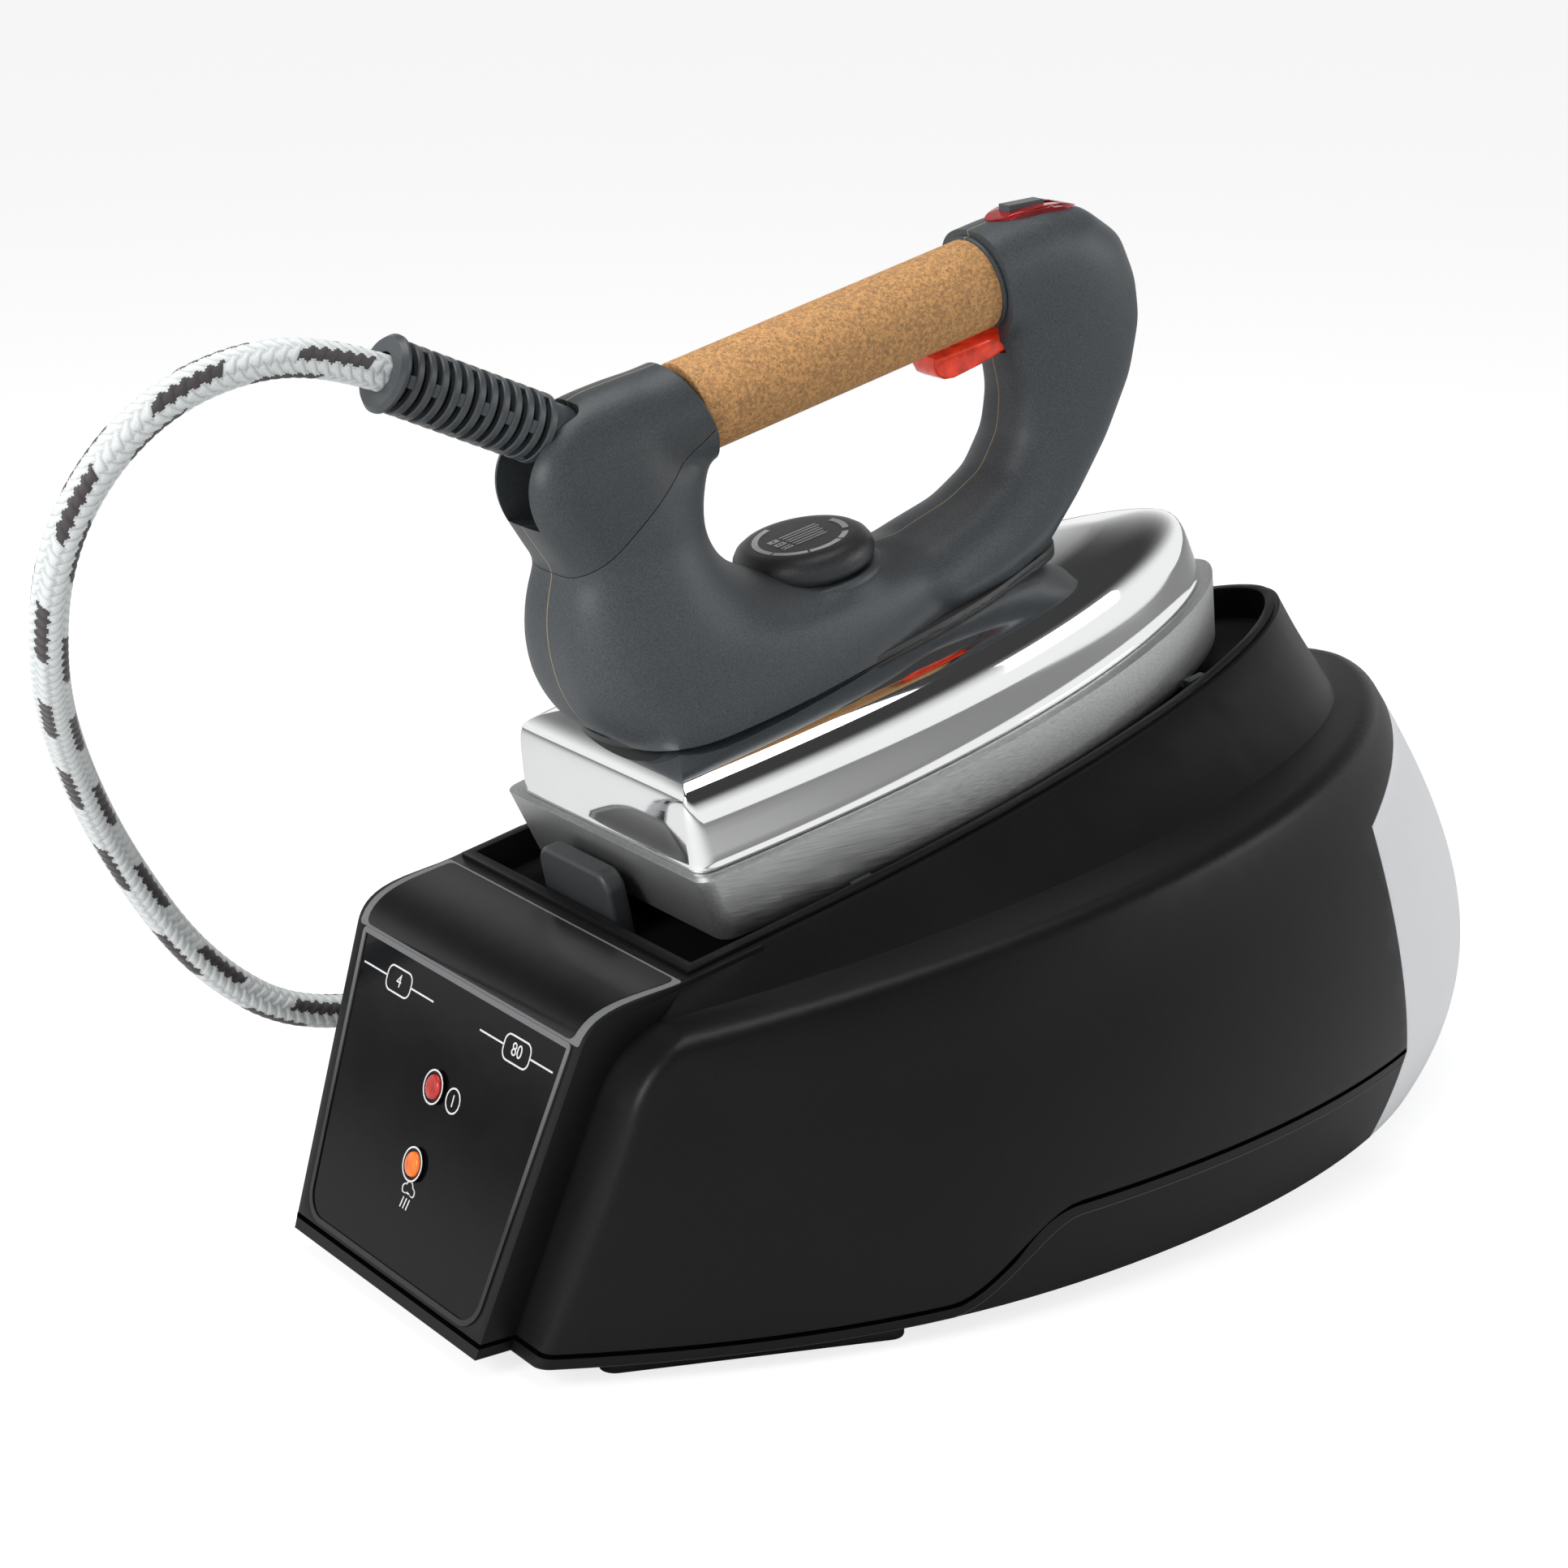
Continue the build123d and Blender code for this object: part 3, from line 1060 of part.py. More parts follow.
def sole_pieces():
    """Soleplate with its steam chamber, element, cover and thermostat, and the skirt over them."""
    top = SOLE_THICKNESS
    sole = loft([Plane.XY * boat_face(SOLE_FOOT_OUTLINE), Plane.XY.offset(top) * boat_face(SOLE_TOP_OUTLINE)])
    corners = [e for e in sole.edges() if abs(e.center().X) < SOLE_HEEL_UNDERCUT and e.length < 2 * top]
    sole = fillet(corners, SOLE_HEEL_ROUNDING)
    cover_outline = CHAMBER_OUTLINE.inset(-COVER_OVERLAP)
    recess = top - COVER_THICKNESS
    cuts = [boat_block(CHAMBER_OUTLINE, CHAMBER_FLOOR, recess, Plane.XY),
            boat_block(cover_outline, recess, top, Plane.XY)]
    span = CHAMBER_OUTLINE.rear - CHAMBER_OUTLINE.front - 4 * STEAM_HOLE_MARGIN
    for i in range(STEAM_HOLE_ROWS):
        u = CHAMBER_OUTLINE.front + STEAM_HOLE_MARGIN + span * i / (STEAM_HOLE_ROWS - 1)
        side = CHAMBER_OUTLINE.half_width(u) - STEAM_HOLE_MARGIN
        cuts += mirrored_pair(upright(STEAM_HOLE_RADIUS, -CHAMBER_FLOOR, 2 * CHAMBER_FLOOR, u, side))
    half_path = [
        (ELEMENT_HEEL, -ELEMENT_SIDE, top + ELEMENT_RISE),
        (ELEMENT_HEEL, -ELEMENT_SIDE, ELEMENT_DEPTH),
        (ELEMENT_TURN, -ELEMENT_SIDE, ELEMENT_DEPTH),
        (ELEMENT_TIP, -ELEMENT_TIP_HALF, ELEMENT_DEPTH),
    ]
    path = half_path + [(u, -y, w) for u, y, w in reversed(half_path)]
    element = tube(path, list(ELEMENT_BENDS), ELEMENT_RADIUS)
    cover = boat_block(cover_outline, recess, top, Plane.XY)
    cover -= upright(STEAM_TUBE_BORE, recess, top, STEAM_TUBE_STATION)
    shoulder = SKIRT_TOP_HEIGHT - SKIRT_TOP_ROUNDING
    half_turn = SKIRT_TOP_HEIGHT - SKIRT_TOP_ROUNDING / 4
    skirt = loft([
        Plane.XY.offset(top) * boat_face(SKIRT_FOOT),
        Plane.XY.offset(shoulder) * boat_face(SKIRT_TOP),
        Plane.XY.offset(half_turn) * boat_face(SKIRT_TOP.inset(SKIRT_TOP_ROUNDING / 2)),
        Plane.XY.offset(SKIRT_TOP_HEIGHT) * boat_face(SKIRT_TOP.inset(SKIRT_TOP_ROUNDING)),
    ], ruled=True)
    inner_top = SKIRT_TOP_HEIGHT - SKIRT_WALL
    skirt -= [
        loft([Plane.XY.offset(top) * boat_face(SKIRT_FOOT.inset(2 * SKIRT_WALL)),
              Plane.XY.offset(inner_top) * boat_face(SKIRT_TOP.inset(SKIRT_TOP_ROUNDING + SKIRT_WALL))]),
        upright(SKIRT_HOLE_RADIUS, top, HANDLE_FOOT, DIAL_STATION),
        upright(SKIRT_HOLE_RADIUS, top, HANDLE_FOOT, STEAM_TUBE_STATION),
        *[upright(SCREW_RADIUS, top, HANDLE_FOOT, u, y) for u, y in screw_spots()],
    ]
    insulator_face = handle_level_face(HANDLE_LEVELS[0], INSULATOR_INSET)
    insulator = extrude(Plane.XY.offset(SKIRT_TOP_HEIGHT) * insulator_face, amount=INSULATOR_THICKNESS)
    insulator -= [
        upright(SKIRT_HOLE_RADIUS, top, HANDLE_FOOT, DIAL_STATION),
        upright(STEAM_TUBE_RADIUS, top, HANDLE_FOOT, STEAM_TUBE_STATION),
        *[upright(SCREW_RADIUS, top, HANDLE_FOOT, u, y) for u, y in screw_spots()],
    ]
    screws = []
    for u, y in screw_spots():
        head = upright(SCREW_HEAD_RADIUS, inner_top - SCREW_HEAD_HEIGHT, inner_top, u, y)
        screws.append(head + upright(SCREW_RADIUS, inner_top, HANDLE_FOOT + HANDLE_FLOOR, u, y))
    return {
        "soleplate": sole - [*cuts, element],
        "heating_element": element,
        "steam_chamber_cover": cover,
        "iron_thermostat": upright(IRON_THERMOSTAT_RADIUS, top, top + IRON_THERMOSTAT_HEIGHT, DIAL_STATION),
        "chrome_skirt": skirt,
        "heat_insulator": insulator,
        "iron_screws": Compound(children=screws),
    }


def lock_pocket(brow):
    """Almond-shaped pocket in the brow of the handle, down to its curved floor."""
    low = LOCK_CHORD_HEIGHT - 4 * LOCK_DEPTH
    almond = extrude(Plane.XY.offset(low) * Pos(LOCK_STATION, 0) * Ellipse(LOCK_HALF_LENGTH, LOCK_HALF_WIDTH),
                     amount=8 * LOCK_DEPTH)
    return almond - Pos(0, 0, -LOCK_DEPTH) * brow


def lock_plane():
    """Plane of the steam lock's travel along the chord of the brow."""
    a = radians(LOCK_TILT)
    return Plane((LOCK_STATION, 0, LOCK_CHORD_HEIGHT), x_dir=(cos(a), 0, -sin(a)), z_dir=(sin(a), 0, cos(a)))


def relief_frame():
    """Plane at the swivel of the strain relief, its Z axis along the relief."""
    a = radians(RELIEF_TILT)
    return Plane((RELIEF_PIVOT[0], 0, RELIEF_PIVOT[1]), x_dir=(0, 1, 0), z_dir=(-cos(a), 0, sin(a)))


def relief_slot():
    """Slot in the rear cap that lets the strain relief swing up and down."""
    reach = RELIEF_RIB_RADIUS + RELIEF_SLOT_GAP
    pivot_u, pivot_w = RELIEF_PIVOT
    corners = []
    for swing, side in ((-RELIEF_SWING, -1), (RELIEF_SWING, 1)):
        a = radians(RELIEF_TILT + swing)
        foot = (pivot_u + side * reach * sin(a), pivot_w + side * reach * cos(a))
        far = (foot[0] - RELIEF_LENGTH * cos(a), foot[1] + RELIEF_LENGTH * sin(a))
        corners.append((foot, far))
    (low_foot, low_far), (high_foot, high_far) = corners
    return side_polygon([low_foot, low_far, high_far, high_foot], reach)


def handle_pieces():
    """Two handle shells, the rear cap, the grip with its core and collars, and what the shells hold."""
    brow = extrude(Plane.XZ * handle_side_face(), amount=2 * LOCK_HALF_WIDTH, both=True)
    pocket = lock_pocket(brow)
    seat = DIAL_FOOT - JOINT_GAP
    floor = HANDLE_FOOT + HANDLE_FLOOR
    core = grip_rod(CORE_RADIUS, CORE_PLUG, CORE_PLUG)
    pivot_u, pivot_w = TRIGGER_PIVOT
    slot_half = TRIGGER_HALF + TRIGGER_SIDE_GAP
    slot_low = TRIGGER_TOP - TRIGGER_DEPTH
    pin = across(TRIGGER_PIN_RADIUS, TRIGGER_PIN_HALF, pivot_u, pivot_w)
    swivel = across(SWIVEL_PIN_RADIUS, SWIVEL_PIN_HALF, *RELIEF_PIVOT)
    slot_length = pivot_u + TRIGGER_EYE - TRIGGER_SLOT_REAR
    slot = block(TRIGGER_SLOT_REAR + slot_length / 2, slot_half, slot_low, TRIGGER_SLOT_TOP, slot_length)
    shell = handle_outside() + upright(DIAL_RADIUS, seat - DIAL_COLLAR_DEPTH, seat, DIAL_STATION)
    shell -= [
        handle_cavity(),
        upright(DIAL_RADIUS + JOINT_GAP, seat, seat + 2 * DIAL_HEIGHT, DIAL_STATION),
        upright(DIAL_SHAFT_RADIUS + DIAL_SHAFT_GAP, HANDLE_FOOT, seat, DIAL_STATION),
        upright(STEAM_TUBE_RADIUS, HANDLE_FOOT, floor, STEAM_TUBE_STATION),
        *[upright(SCREW_RADIUS, HANDLE_FOOT, floor, u, y) for u, y in screw_spots()],
        slot, pin, swivel, core, pocket, relief_slot(),
    ]
    near_space = Pos(0, -FAR / 2, 0) * Box(2 * FAR, FAR, 2 * FAR)
    far_space = Pos(0, FAR / 2, 0) * Box(2 * FAR, FAR, 2 * FAR)
    collars = grip_rod(CORK_RADIUS + COLLAR_PROUD, CORK_RADIUS, CORK_RADIUS) & between_collars()
    collars -= [between_collars(COLLAR_THICKNESS), core, slot]
    cork = grip_rod(CORK_RADIUS, 0, 0) & between_collars(COLLAR_THICKNESS)
    tube_path = [(STEAM_TUBE_STATION, 0, SOLE_THICKNESS), (STEAM_TUBE_STATION, 0, STEAM_TUBE_KNEE),
                 (STEAM_TUBE_END[0], 0, STEAM_TUBE_END[1])]
    ceiling = CAVITY_CEILING[0]
    switch = block(SWITCH_STATION, SWITCH_SIZE[1] / 2, ceiling - SWITCH_SIZE[2], ceiling, SWITCH_SIZE[0])
    lever_u = SWITCH_STATION - (SWITCH_SIZE[0] - SWITCH_LEVER) / 2
    lever_foot = TRIGGER_TOP + TRIGGER_SIDE_GAP
    switch += block(lever_u, SWITCH_LEVER, lever_foot, ceiling - SWITCH_SIZE[2], SWITCH_LEVER)
    terminal_length, terminal_width, terminal_height = TERMINAL_SIZE
    terminals = block(TERMINAL_STATION, terminal_width / 2, floor, floor + terminal_height, terminal_length)
    return {
        "handle_right_shell": shell - [cap_region(), far_space],
        "handle_left_shell": shell - [cap_region(), near_space],
        "handle_rear_cap": shell & cap_region(),
        "grip_collars": collars,
        "cork_grip": cork - [core, slot],
        "grip_core": core - grip_rod(CORE_BORE_RADIUS, CORE_PLUG, CORE_PLUG),
        "steam_inlet_tube": tube(tube_path, STEAM_TUBE_BEND, STEAM_TUBE_RADIUS, STEAM_TUBE_BORE),
        "terminal_block": terminals,
        "steam_switch": switch,
        "iron_pins": Compound(children=[pin, swivel]),
    }


def control_pieces():
    """Dial on its shaft, steam trigger with its spring, and the steam lock."""
    dial = upright(DIAL_RADIUS, DIAL_FOOT, DIAL_FOOT + DIAL_HEIGHT, DIAL_STATION)
    dial = fillet(dial.edges().group_by(Axis.Z)[-1], DIAL_ROUNDING)
    shaft = upright(DIAL_SHAFT_RADIUS, SOLE_THICKNESS + IRON_THERMOSTAT_HEIGHT + DRIVE_GAP,
                    DIAL_FOOT + DIAL_GRIP_DEPTH, DIAL_STATION)
    trigger = side_prism(trigger_side(), TRIGGER_HALF)
    trigger -= across(TRIGGER_PIN_RADIUS + PIN_GAP, TRIGGER_HALF, *TRIGGER_PIVOT)
    rise = TRIGGER_SLOT_TOP - TRIGGER_TOP - 2 * SPRING_WIRE_RADIUS - 2 * DRIVE_GAP
    coil = Helix(rise / SPRING_TURNS, rise, SPRING_RADIUS)
    wire = sweep(Plane(coil @ 0, z_dir=coil % 0) * Circle(SPRING_WIRE_RADIUS), path=coil, is_frenet=True)
    foot = TRIGGER_TOP + SPRING_WIRE_RADIUS + DRIVE_GAP
    print("spring gap between turns", round(rise / SPRING_TURNS - 2 * SPRING_WIRE_RADIUS, 3))
    brow = extrude(Plane.XZ * handle_side_face(), amount=2 * LOCK_HALF_WIDTH, both=True)
    bezel = lock_pocket(brow) & Pos(0, 0, LOCK_PROUD) * brow
    plane = lock_plane()
    opening = Rectangle(2 * LOCK_SLOT_HALF_LENGTH, 2 * LOCK_SLOT_HALF_WIDTH)
    bezel -= extrude(plane.offset(-LOCK_HALF_WIDTH) * opening, amount=2 * LOCK_HALF_WIDTH)
    length = 2 * (LOCK_SLOT_HALF_LENGTH - FIT_GAP) - LOCK_TRAVEL
    pad = Rectangle(length, 2 * (LOCK_SLOT_HALF_WIDTH - FIT_GAP))
    slider = extrude(plane.offset(LOCK_SLIDER_LOW) * Pos(-LOCK_TRAVEL / 2, 0) * pad,
                     amount=LOCK_SLIDER_HIGH - LOCK_SLIDER_LOW)
    return {
        "temperature_dial": dial - shaft,
        "dial_shaft": shaft,
        "steam_trigger": trigger,
        "trigger_spring": Pos(SPRING_STATION, 0, foot) * wire,
        "lock_bezel": bezel,
        "lock_slider": slider,
    }


def strain_relief():
    """Ribbed rubber sleeve on a swivel eye, with a socket for the hose in its end flange."""
    rib_end = RELIEF_LENGTH - RELIEF_FLANGE
    pitch = (rib_end - RELIEF_RIB_START) / RELIEF_RIBS
    outline = [(0, 0), (RELIEF_ROOT_RADIUS, 0), (RELIEF_ROOT_RADIUS, RELIEF_RIB_START)]
    for i in range(RELIEF_RIBS):
        start = RELIEF_RIB_START + i * pitch
        end = start + RELIEF_RIB_SHARE * pitch
        outline += [(RELIEF_RIB_RADIUS, start), (RELIEF_RIB_RADIUS, end), (RELIEF_GROOVE_RADIUS, end),
                    (RELIEF_GROOVE_RADIUS, start + pitch)]
    outline += [(RELIEF_FLANGE_RADIUS, rib_end), (RELIEF_FLANGE_RADIUS, RELIEF_LENGTH), (0, RELIEF_LENGTH)]
    sleeve = revolve(Plane.XZ * make_face([Polyline(*outline, close=True)]), axis=Axis.Z)
    eye = Rot(0, 90, 0) * Cylinder(RELIEF_EYE_RADIUS, 2 * RELIEF_EYE_HALF)
    hole = Rot(0, 90, 0) * Cylinder(SWIVEL_PIN_RADIUS + PIN_GAP, 2 * RELIEF_EYE_HALF)
    socket = Pos(0, 0, RELIEF_LENGTH - RELIEF_SOCKET / 2) * Cylinder(
        HOSE_RADIUS + HOSE_SOCKET_GAP, RELIEF_SOCKET)
    return relief_frame().location * (sleeve + eye - [hole, socket])


def hose_route():
    """Corner points of the hose from the socket of the strain relief to the socket of the gland."""
    frame = relief_frame()
    start = frame.from_local_coords(Vector(0, 0, RELIEF_LENGTH - RELIEF_SOCKET))
    first = frame.from_local_coords(Vector(0, 0, RELIEF_LENGTH - RELIEF_SOCKET + HOSE_FIRST_RUN))
    head = [IRON.from_local_coords(start), IRON.from_local_coords(first)]
    upper = [Vector(FRONT_X + x, y, z) for x, y, z in HOSE_UPPER_ROUTE]
    lower = [Vector(FRONT_X + x, y, z) for x, y, z in HOSE_LOWER_ROUTE]
    end_x = FRONT_X + GLAND_STATION - GLAND_NOSE + GLAND_SOCKET
    tail = [Vector(end_x - HOSE_LAST_RUN, GLAND_SIDE, GLAND_HEIGHT), Vector(end_x, GLAND_SIDE, GLAND_HEIGHT)]
    return head + upper, lower + tail


def bend_radii(points):
    """Radius at each inner corner that leaves a short straight run between neighbouring arcs."""
    radii = []
    for before, here, after in zip(points, points[1:], points[2:]):
        first = here - before
        second = after - here
        half_turn = radians(first.get_angle(second)) / 2
        radii.append(HOSE_ARC_SHARE * min(first.length, second.length) / tan(half_turn))
    return radii


def hose_pieces():
    """The hose in two pieces that meet face to face: one at the iron and one at the base."""
    upper, lower = hose_route()
    radii = bend_radii(upper + lower)
    middle = (upper[-1] + lower[0]) / 2
    split = len(upper) - 1
    print("hose bend radii", [round(r, 1) for r in radii])
    pieces = {
        "steam_hose_upper": tube(upper + [middle], radii[:split], HOSE_RADIUS),
        "steam_hose": tube([middle] + lower, radii[split:], HOSE_RADIUS),
    }
    for name, piece in pieces.items():
        print(name, "length", round(piece.volume / (pi * HOSE_RADIUS**2), 1))
    return pieces


def iron_pieces():
    """Every piece of the iron, set on the cradle."""
    pieces = sole_pieces()
    pieces.update(handle_pieces())
    pieces.update(control_pieces())
    pieces["strain_relief"] = strain_relief()
    return {name: IRON.location * solid for name, solid in pieces.items()}


def base_pieces():
    """Every piece of the base."""
    outside = base_outside()
    leg_end = GLAND_SIDE - GLAND_LEG
    gland = hose_gland(leg_end)
    casing, tray = casing_and_tray(outside, gland)
    mains = mains_rod(MAINS_GLAND_RADIUS) - mains_rod(MAINS_BORE_RADIUS)
    pieces = {"upper_casing": casing, "base_tray": tray, "hose_gland": gland, "mains_gland": mains}
    pieces.update(panel_pieces())
    pieces.update(cradle_pieces())
    pieces.update(tank_pieces(outside))
    pieces.update(boiler_pieces())
    pieces.update(plumbing_pieces(leg_end))
    pieces["control_board"] = board_piece()
    pieces.update(feet_and_screws())
    return pieces


def main():
    """Write one file per piece."""
    os.makedirs("parts", exist_ok=True)
    pieces = {**base_pieces(), **iron_pieces(), **hose_pieces()}
    for name, solid in pieces.items():
        export_step(solid, f"parts/{name}.step")


if __name__ == "__main__":
    main()
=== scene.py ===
"""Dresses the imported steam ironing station: iron on its cradle, boiler base, water tank and braided hose."""
import logging
import math
from dataclasses import dataclass
from enum import Enum
from typing import Sequence

import bmesh
import bpy
from mathutils import Matrix, Vector
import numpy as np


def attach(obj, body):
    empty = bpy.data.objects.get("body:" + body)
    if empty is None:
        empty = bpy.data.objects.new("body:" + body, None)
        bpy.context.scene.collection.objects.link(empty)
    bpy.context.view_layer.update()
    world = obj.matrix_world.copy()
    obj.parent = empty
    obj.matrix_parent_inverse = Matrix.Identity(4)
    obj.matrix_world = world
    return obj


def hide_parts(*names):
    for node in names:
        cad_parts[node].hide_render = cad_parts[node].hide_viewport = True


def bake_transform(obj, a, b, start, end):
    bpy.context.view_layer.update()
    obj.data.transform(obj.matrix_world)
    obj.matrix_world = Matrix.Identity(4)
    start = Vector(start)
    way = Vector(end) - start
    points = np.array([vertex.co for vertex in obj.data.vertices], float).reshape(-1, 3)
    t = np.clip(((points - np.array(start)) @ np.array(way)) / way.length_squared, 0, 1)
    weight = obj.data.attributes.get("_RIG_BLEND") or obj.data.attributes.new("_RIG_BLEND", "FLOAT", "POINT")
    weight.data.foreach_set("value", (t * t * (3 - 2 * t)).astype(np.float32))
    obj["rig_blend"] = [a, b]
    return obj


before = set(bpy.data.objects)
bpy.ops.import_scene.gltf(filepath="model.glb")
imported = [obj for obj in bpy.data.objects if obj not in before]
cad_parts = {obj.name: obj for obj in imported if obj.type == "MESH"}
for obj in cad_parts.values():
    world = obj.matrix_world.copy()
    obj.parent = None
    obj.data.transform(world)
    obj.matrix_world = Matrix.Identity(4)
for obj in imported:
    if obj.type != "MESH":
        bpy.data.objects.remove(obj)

LOG = logging.getLogger("ironing_station")
MM = 0.001
FRONT = -197.486
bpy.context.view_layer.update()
Colour = tuple[float, float, float, float]
Flat = tuple[float, float]
Triple = tuple[float, float, float]


def grey(level: float) -> Colour:
    """Neutral colour of one linear level."""
    return (level, level, level, 1.0)


@dataclass(frozen=True)
class Place:
    """Frame that sizes in millimetres are measured from."""

    matrix: Matrix

    @staticmethod
    def turn(origin: Triple, x_dir: Triple, z_dir: Triple) -> Matrix:
        """Matrix of a frame inside another.

        Args:
            origin: Where the frame stands.
            x_dir: Direction of its X axis.
            z_dir: Direction of its Z axis.

        Returns:
            The matrix from the inner frame to the outer one.
        """
        x = Vector(x_dir).normalized()
        z = Vector(z_dir).normalized()
        turned_axes = Matrix((x, z.cross(x), z)).transposed().to_4x4()
        return Matrix.Translation(Vector(origin)) @ turned_axes

    def within(self, origin: Triple, x_dir: Triple, z_dir: Triple) -> "Place":
        """Frame that stands inside this one, with the same arguments as turn."""
        return Place(self.matrix @ Place.turn(origin, x_dir, z_dir))

    def point(self, x: float, y: float, z: float) -> Vector:
        """Point of this frame in the part's own frame, in metres."""
        return self.matrix @ Vector((x, y, z))


DECK_TILT = math.radians(12.2)
PANEL_LEAN = math.radians(18.9)
RELIEF_TILT = math.radians(36.0)
DECK_X = (math.cos(DECK_TILT), 0.0, math.sin(DECK_TILT))
DECK_Z = (-math.sin(DECK_TILT), 0.0, math.cos(DECK_TILT))
GROUND = Place(Matrix.Scale(MM, 4) @ Matrix.Translation((FRONT, 0.0, 0.0)))
IRON = GROUND.within((76.674, 0.0, 105.838), DECK_X, DECK_Z)
PANEL = GROUND.within((0.0, 0.0, 9.0), (0, -1, 0), (-math.cos(PANEL_LEAN), 0, math.sin(PANEL_LEAN)))
RELIEF = IRON.within((21.0, 0.0, 129.0), (0, 1, 0), (-math.cos(RELIEF_TILT), 0, math.sin(RELIEF_TILT)))
DIAL = IRON.within((83.0, 0.0, 71.0), (1, 0, 0), (0, 0, 1))


class Body(Enum):
    """Bodies that pieces ride on."""

    BASE = "base"
    IRON = "iron"
    DIAL = "dial"
    SWIVEL = "hose_swivel"
    TRIGGER = "trigger"
    LOCK = "lock"


class Graph:
    """Nodes of one material round its shader."""

    def __init__(self, name: str) -> None:
        """Starts a material.

        Args:
            name: Name of the material.
        """
        self.material = bpy.data.materials.new(name)
        self.material.use_nodes = True
        self.tree = self.material.node_tree
        self.shader = self.tree.nodes["Principled BSDF"]

    def node(self, kind: str, inputs: dict, **settings) -> bpy.types.Node:
        """Adds a node.

        Args:
            kind: Kind of node, without its ShaderNode prefix.
            inputs: Sockets by name or index, each with a value or a socket to link from.
            settings: Attributes of the node.

        Returns:
            The new node.
        """
        node = self.tree.nodes.new("ShaderNode" + kind)
        for key, value in settings.items():
            setattr(node, key, value)
        for key, value in inputs.items():
            self.feed(node.inputs[key], value)
        return node

    def feed(self, socket: bpy.types.NodeSocket, value) -> None:
        """Links a socket to another, or sets its value."""
        if isinstance(value, bpy.types.NodeSocket):
            self.tree.links.new(value, socket)
        else:
            socket.default_value = value

    def shade(self, **sockets) -> None:
        """Feeds sockets of the shader, underscores standing for spaces."""
        for key, value in sockets.items():
            self.feed(self.shader.inputs[key.replace("_", " ")], value)

    def spots(self, stretch: Triple = (1, 1, 1), turn: Triple = (0, 0, 0)) -> bpy.types.NodeSocket:
        """Object coordinates, stretched and turned."""
        coords = self.node("TexCoord", {}).outputs["Object"]
        return self.node("Mapping", {"Vector": coords, "Scale": stretch, "Rotation": turn}).outputs["Vector"]

    def noise(self, spots: bpy.types.NodeSocket, scale: float, detail: float = 2.0) -> bpy.types.NodeSocket:
        """Noise value at spots, with features of about 1/scale metres."""
        return self.node("TexNoise", {"Vector": spots, "Scale": scale, "Detail": detail}).outputs["Fac"]

    def ramp(self, value: bpy.types.NodeSocket,
             stops: Sequence[tuple[float, Colour]]) -> bpy.types.NodeSocket:
        """Colour of a value between stops."""
        node = self.node("ValToRGB", {"Fac": value})
        elements = node.color_ramp.elements
        while len(elements) < len(stops):
            elements.new(0.5)
        for element, (position, colour) in zip(elements, stops):
            element.position = position
            element.color = colour
        return node.outputs["Color"]

    def span(self, value: bpy.types.NodeSocket, low: float, high: float) -> bpy.types.NodeSocket:
        """Value of 0 to 1 carried to another range."""
        return self.node("MapRange", {"Value": value, "To Min": low, "To Max": high}).outputs["Result"]

    def mix(self, share: bpy.types.NodeSocket, first, second) -> bpy.types.NodeSocket:
        """Colour between two, by a share."""
        return self.node("MixRGB", {"Fac": share, "Color1": first, "Color2": second}).outputs["Color"]

    def math(self, operation: str, *values) -> bpy.types.NodeSocket:
        """Result of a sum on values."""
        return self.node("Math", dict(enumerate(values)), operation=operation).outputs["Value"]

    def bump(self, height: bpy.types.NodeSocket, depth_mm: float) -> None:
        """Gives the shader a relief of a depth."""
        normal = self.node("Bump", {"Height": height, "Distance": depth_mm * MM}).outputs["Normal"]
        self.shade(Normal=normal)


@dataclass(frozen=True)
class Finish:
    """Surface of a piece: its colour and gloss, before what each kind adds."""

    name: str
    colour: Colour
    roughness: float

    def material(self) -> bpy.types.Material:
        """The finish as a material, made once."""
        name = "finish_" + self.name
        made = bpy.data.materials.get(name)
        if made:
            return made
        graph = Graph(name)
        self.dress(graph)
        return graph.material

    def tone(self, share: float) -> Colour:
        """The colour made darker or lighter by a share."""
        return tuple(min(1.0, c * share) for c in self.colour[:3]) + (1.0,)

    def dress(self, graph: Graph) -> None:
        """Adds the nodes of this kind of finish.

        Args:
            graph: Nodes to add to.
        """
        raise NotImplementedError


@dataclass(frozen=True)
class Moulded(Finish):
    """Moulded plastic or rubber with a fine grain and a cloudy tone."""

    grain: float = 2200.0
    depth: float = 0.03
    contrast: float = 0.25
    specular: float = 0.5

    def dress(self, graph: Graph) -> None:
        """Grain in tone, gloss and relief."""
        spots = graph.spots()
        fine = graph.noise(spots, self.grain, 3.0)
        cloud = graph.noise(spots, 25.0)
        both = graph.math("MULTIPLY_ADD", cloud, 0.4, graph.math("MULTIPLY", fine, 0.6))
        tones = [(0.3, self.tone(1 - self.contrast)), (0.7, self.tone(1 + self.contrast))]
        graph.shade(Base_Color=graph.ramp(both, tones), Specular_IOR_Level=self.specular)
        graph.shade(Roughness=graph.span(both, self.roughness - 0.06, self.roughness + 0.06))
        graph.bump(fine, self.depth)


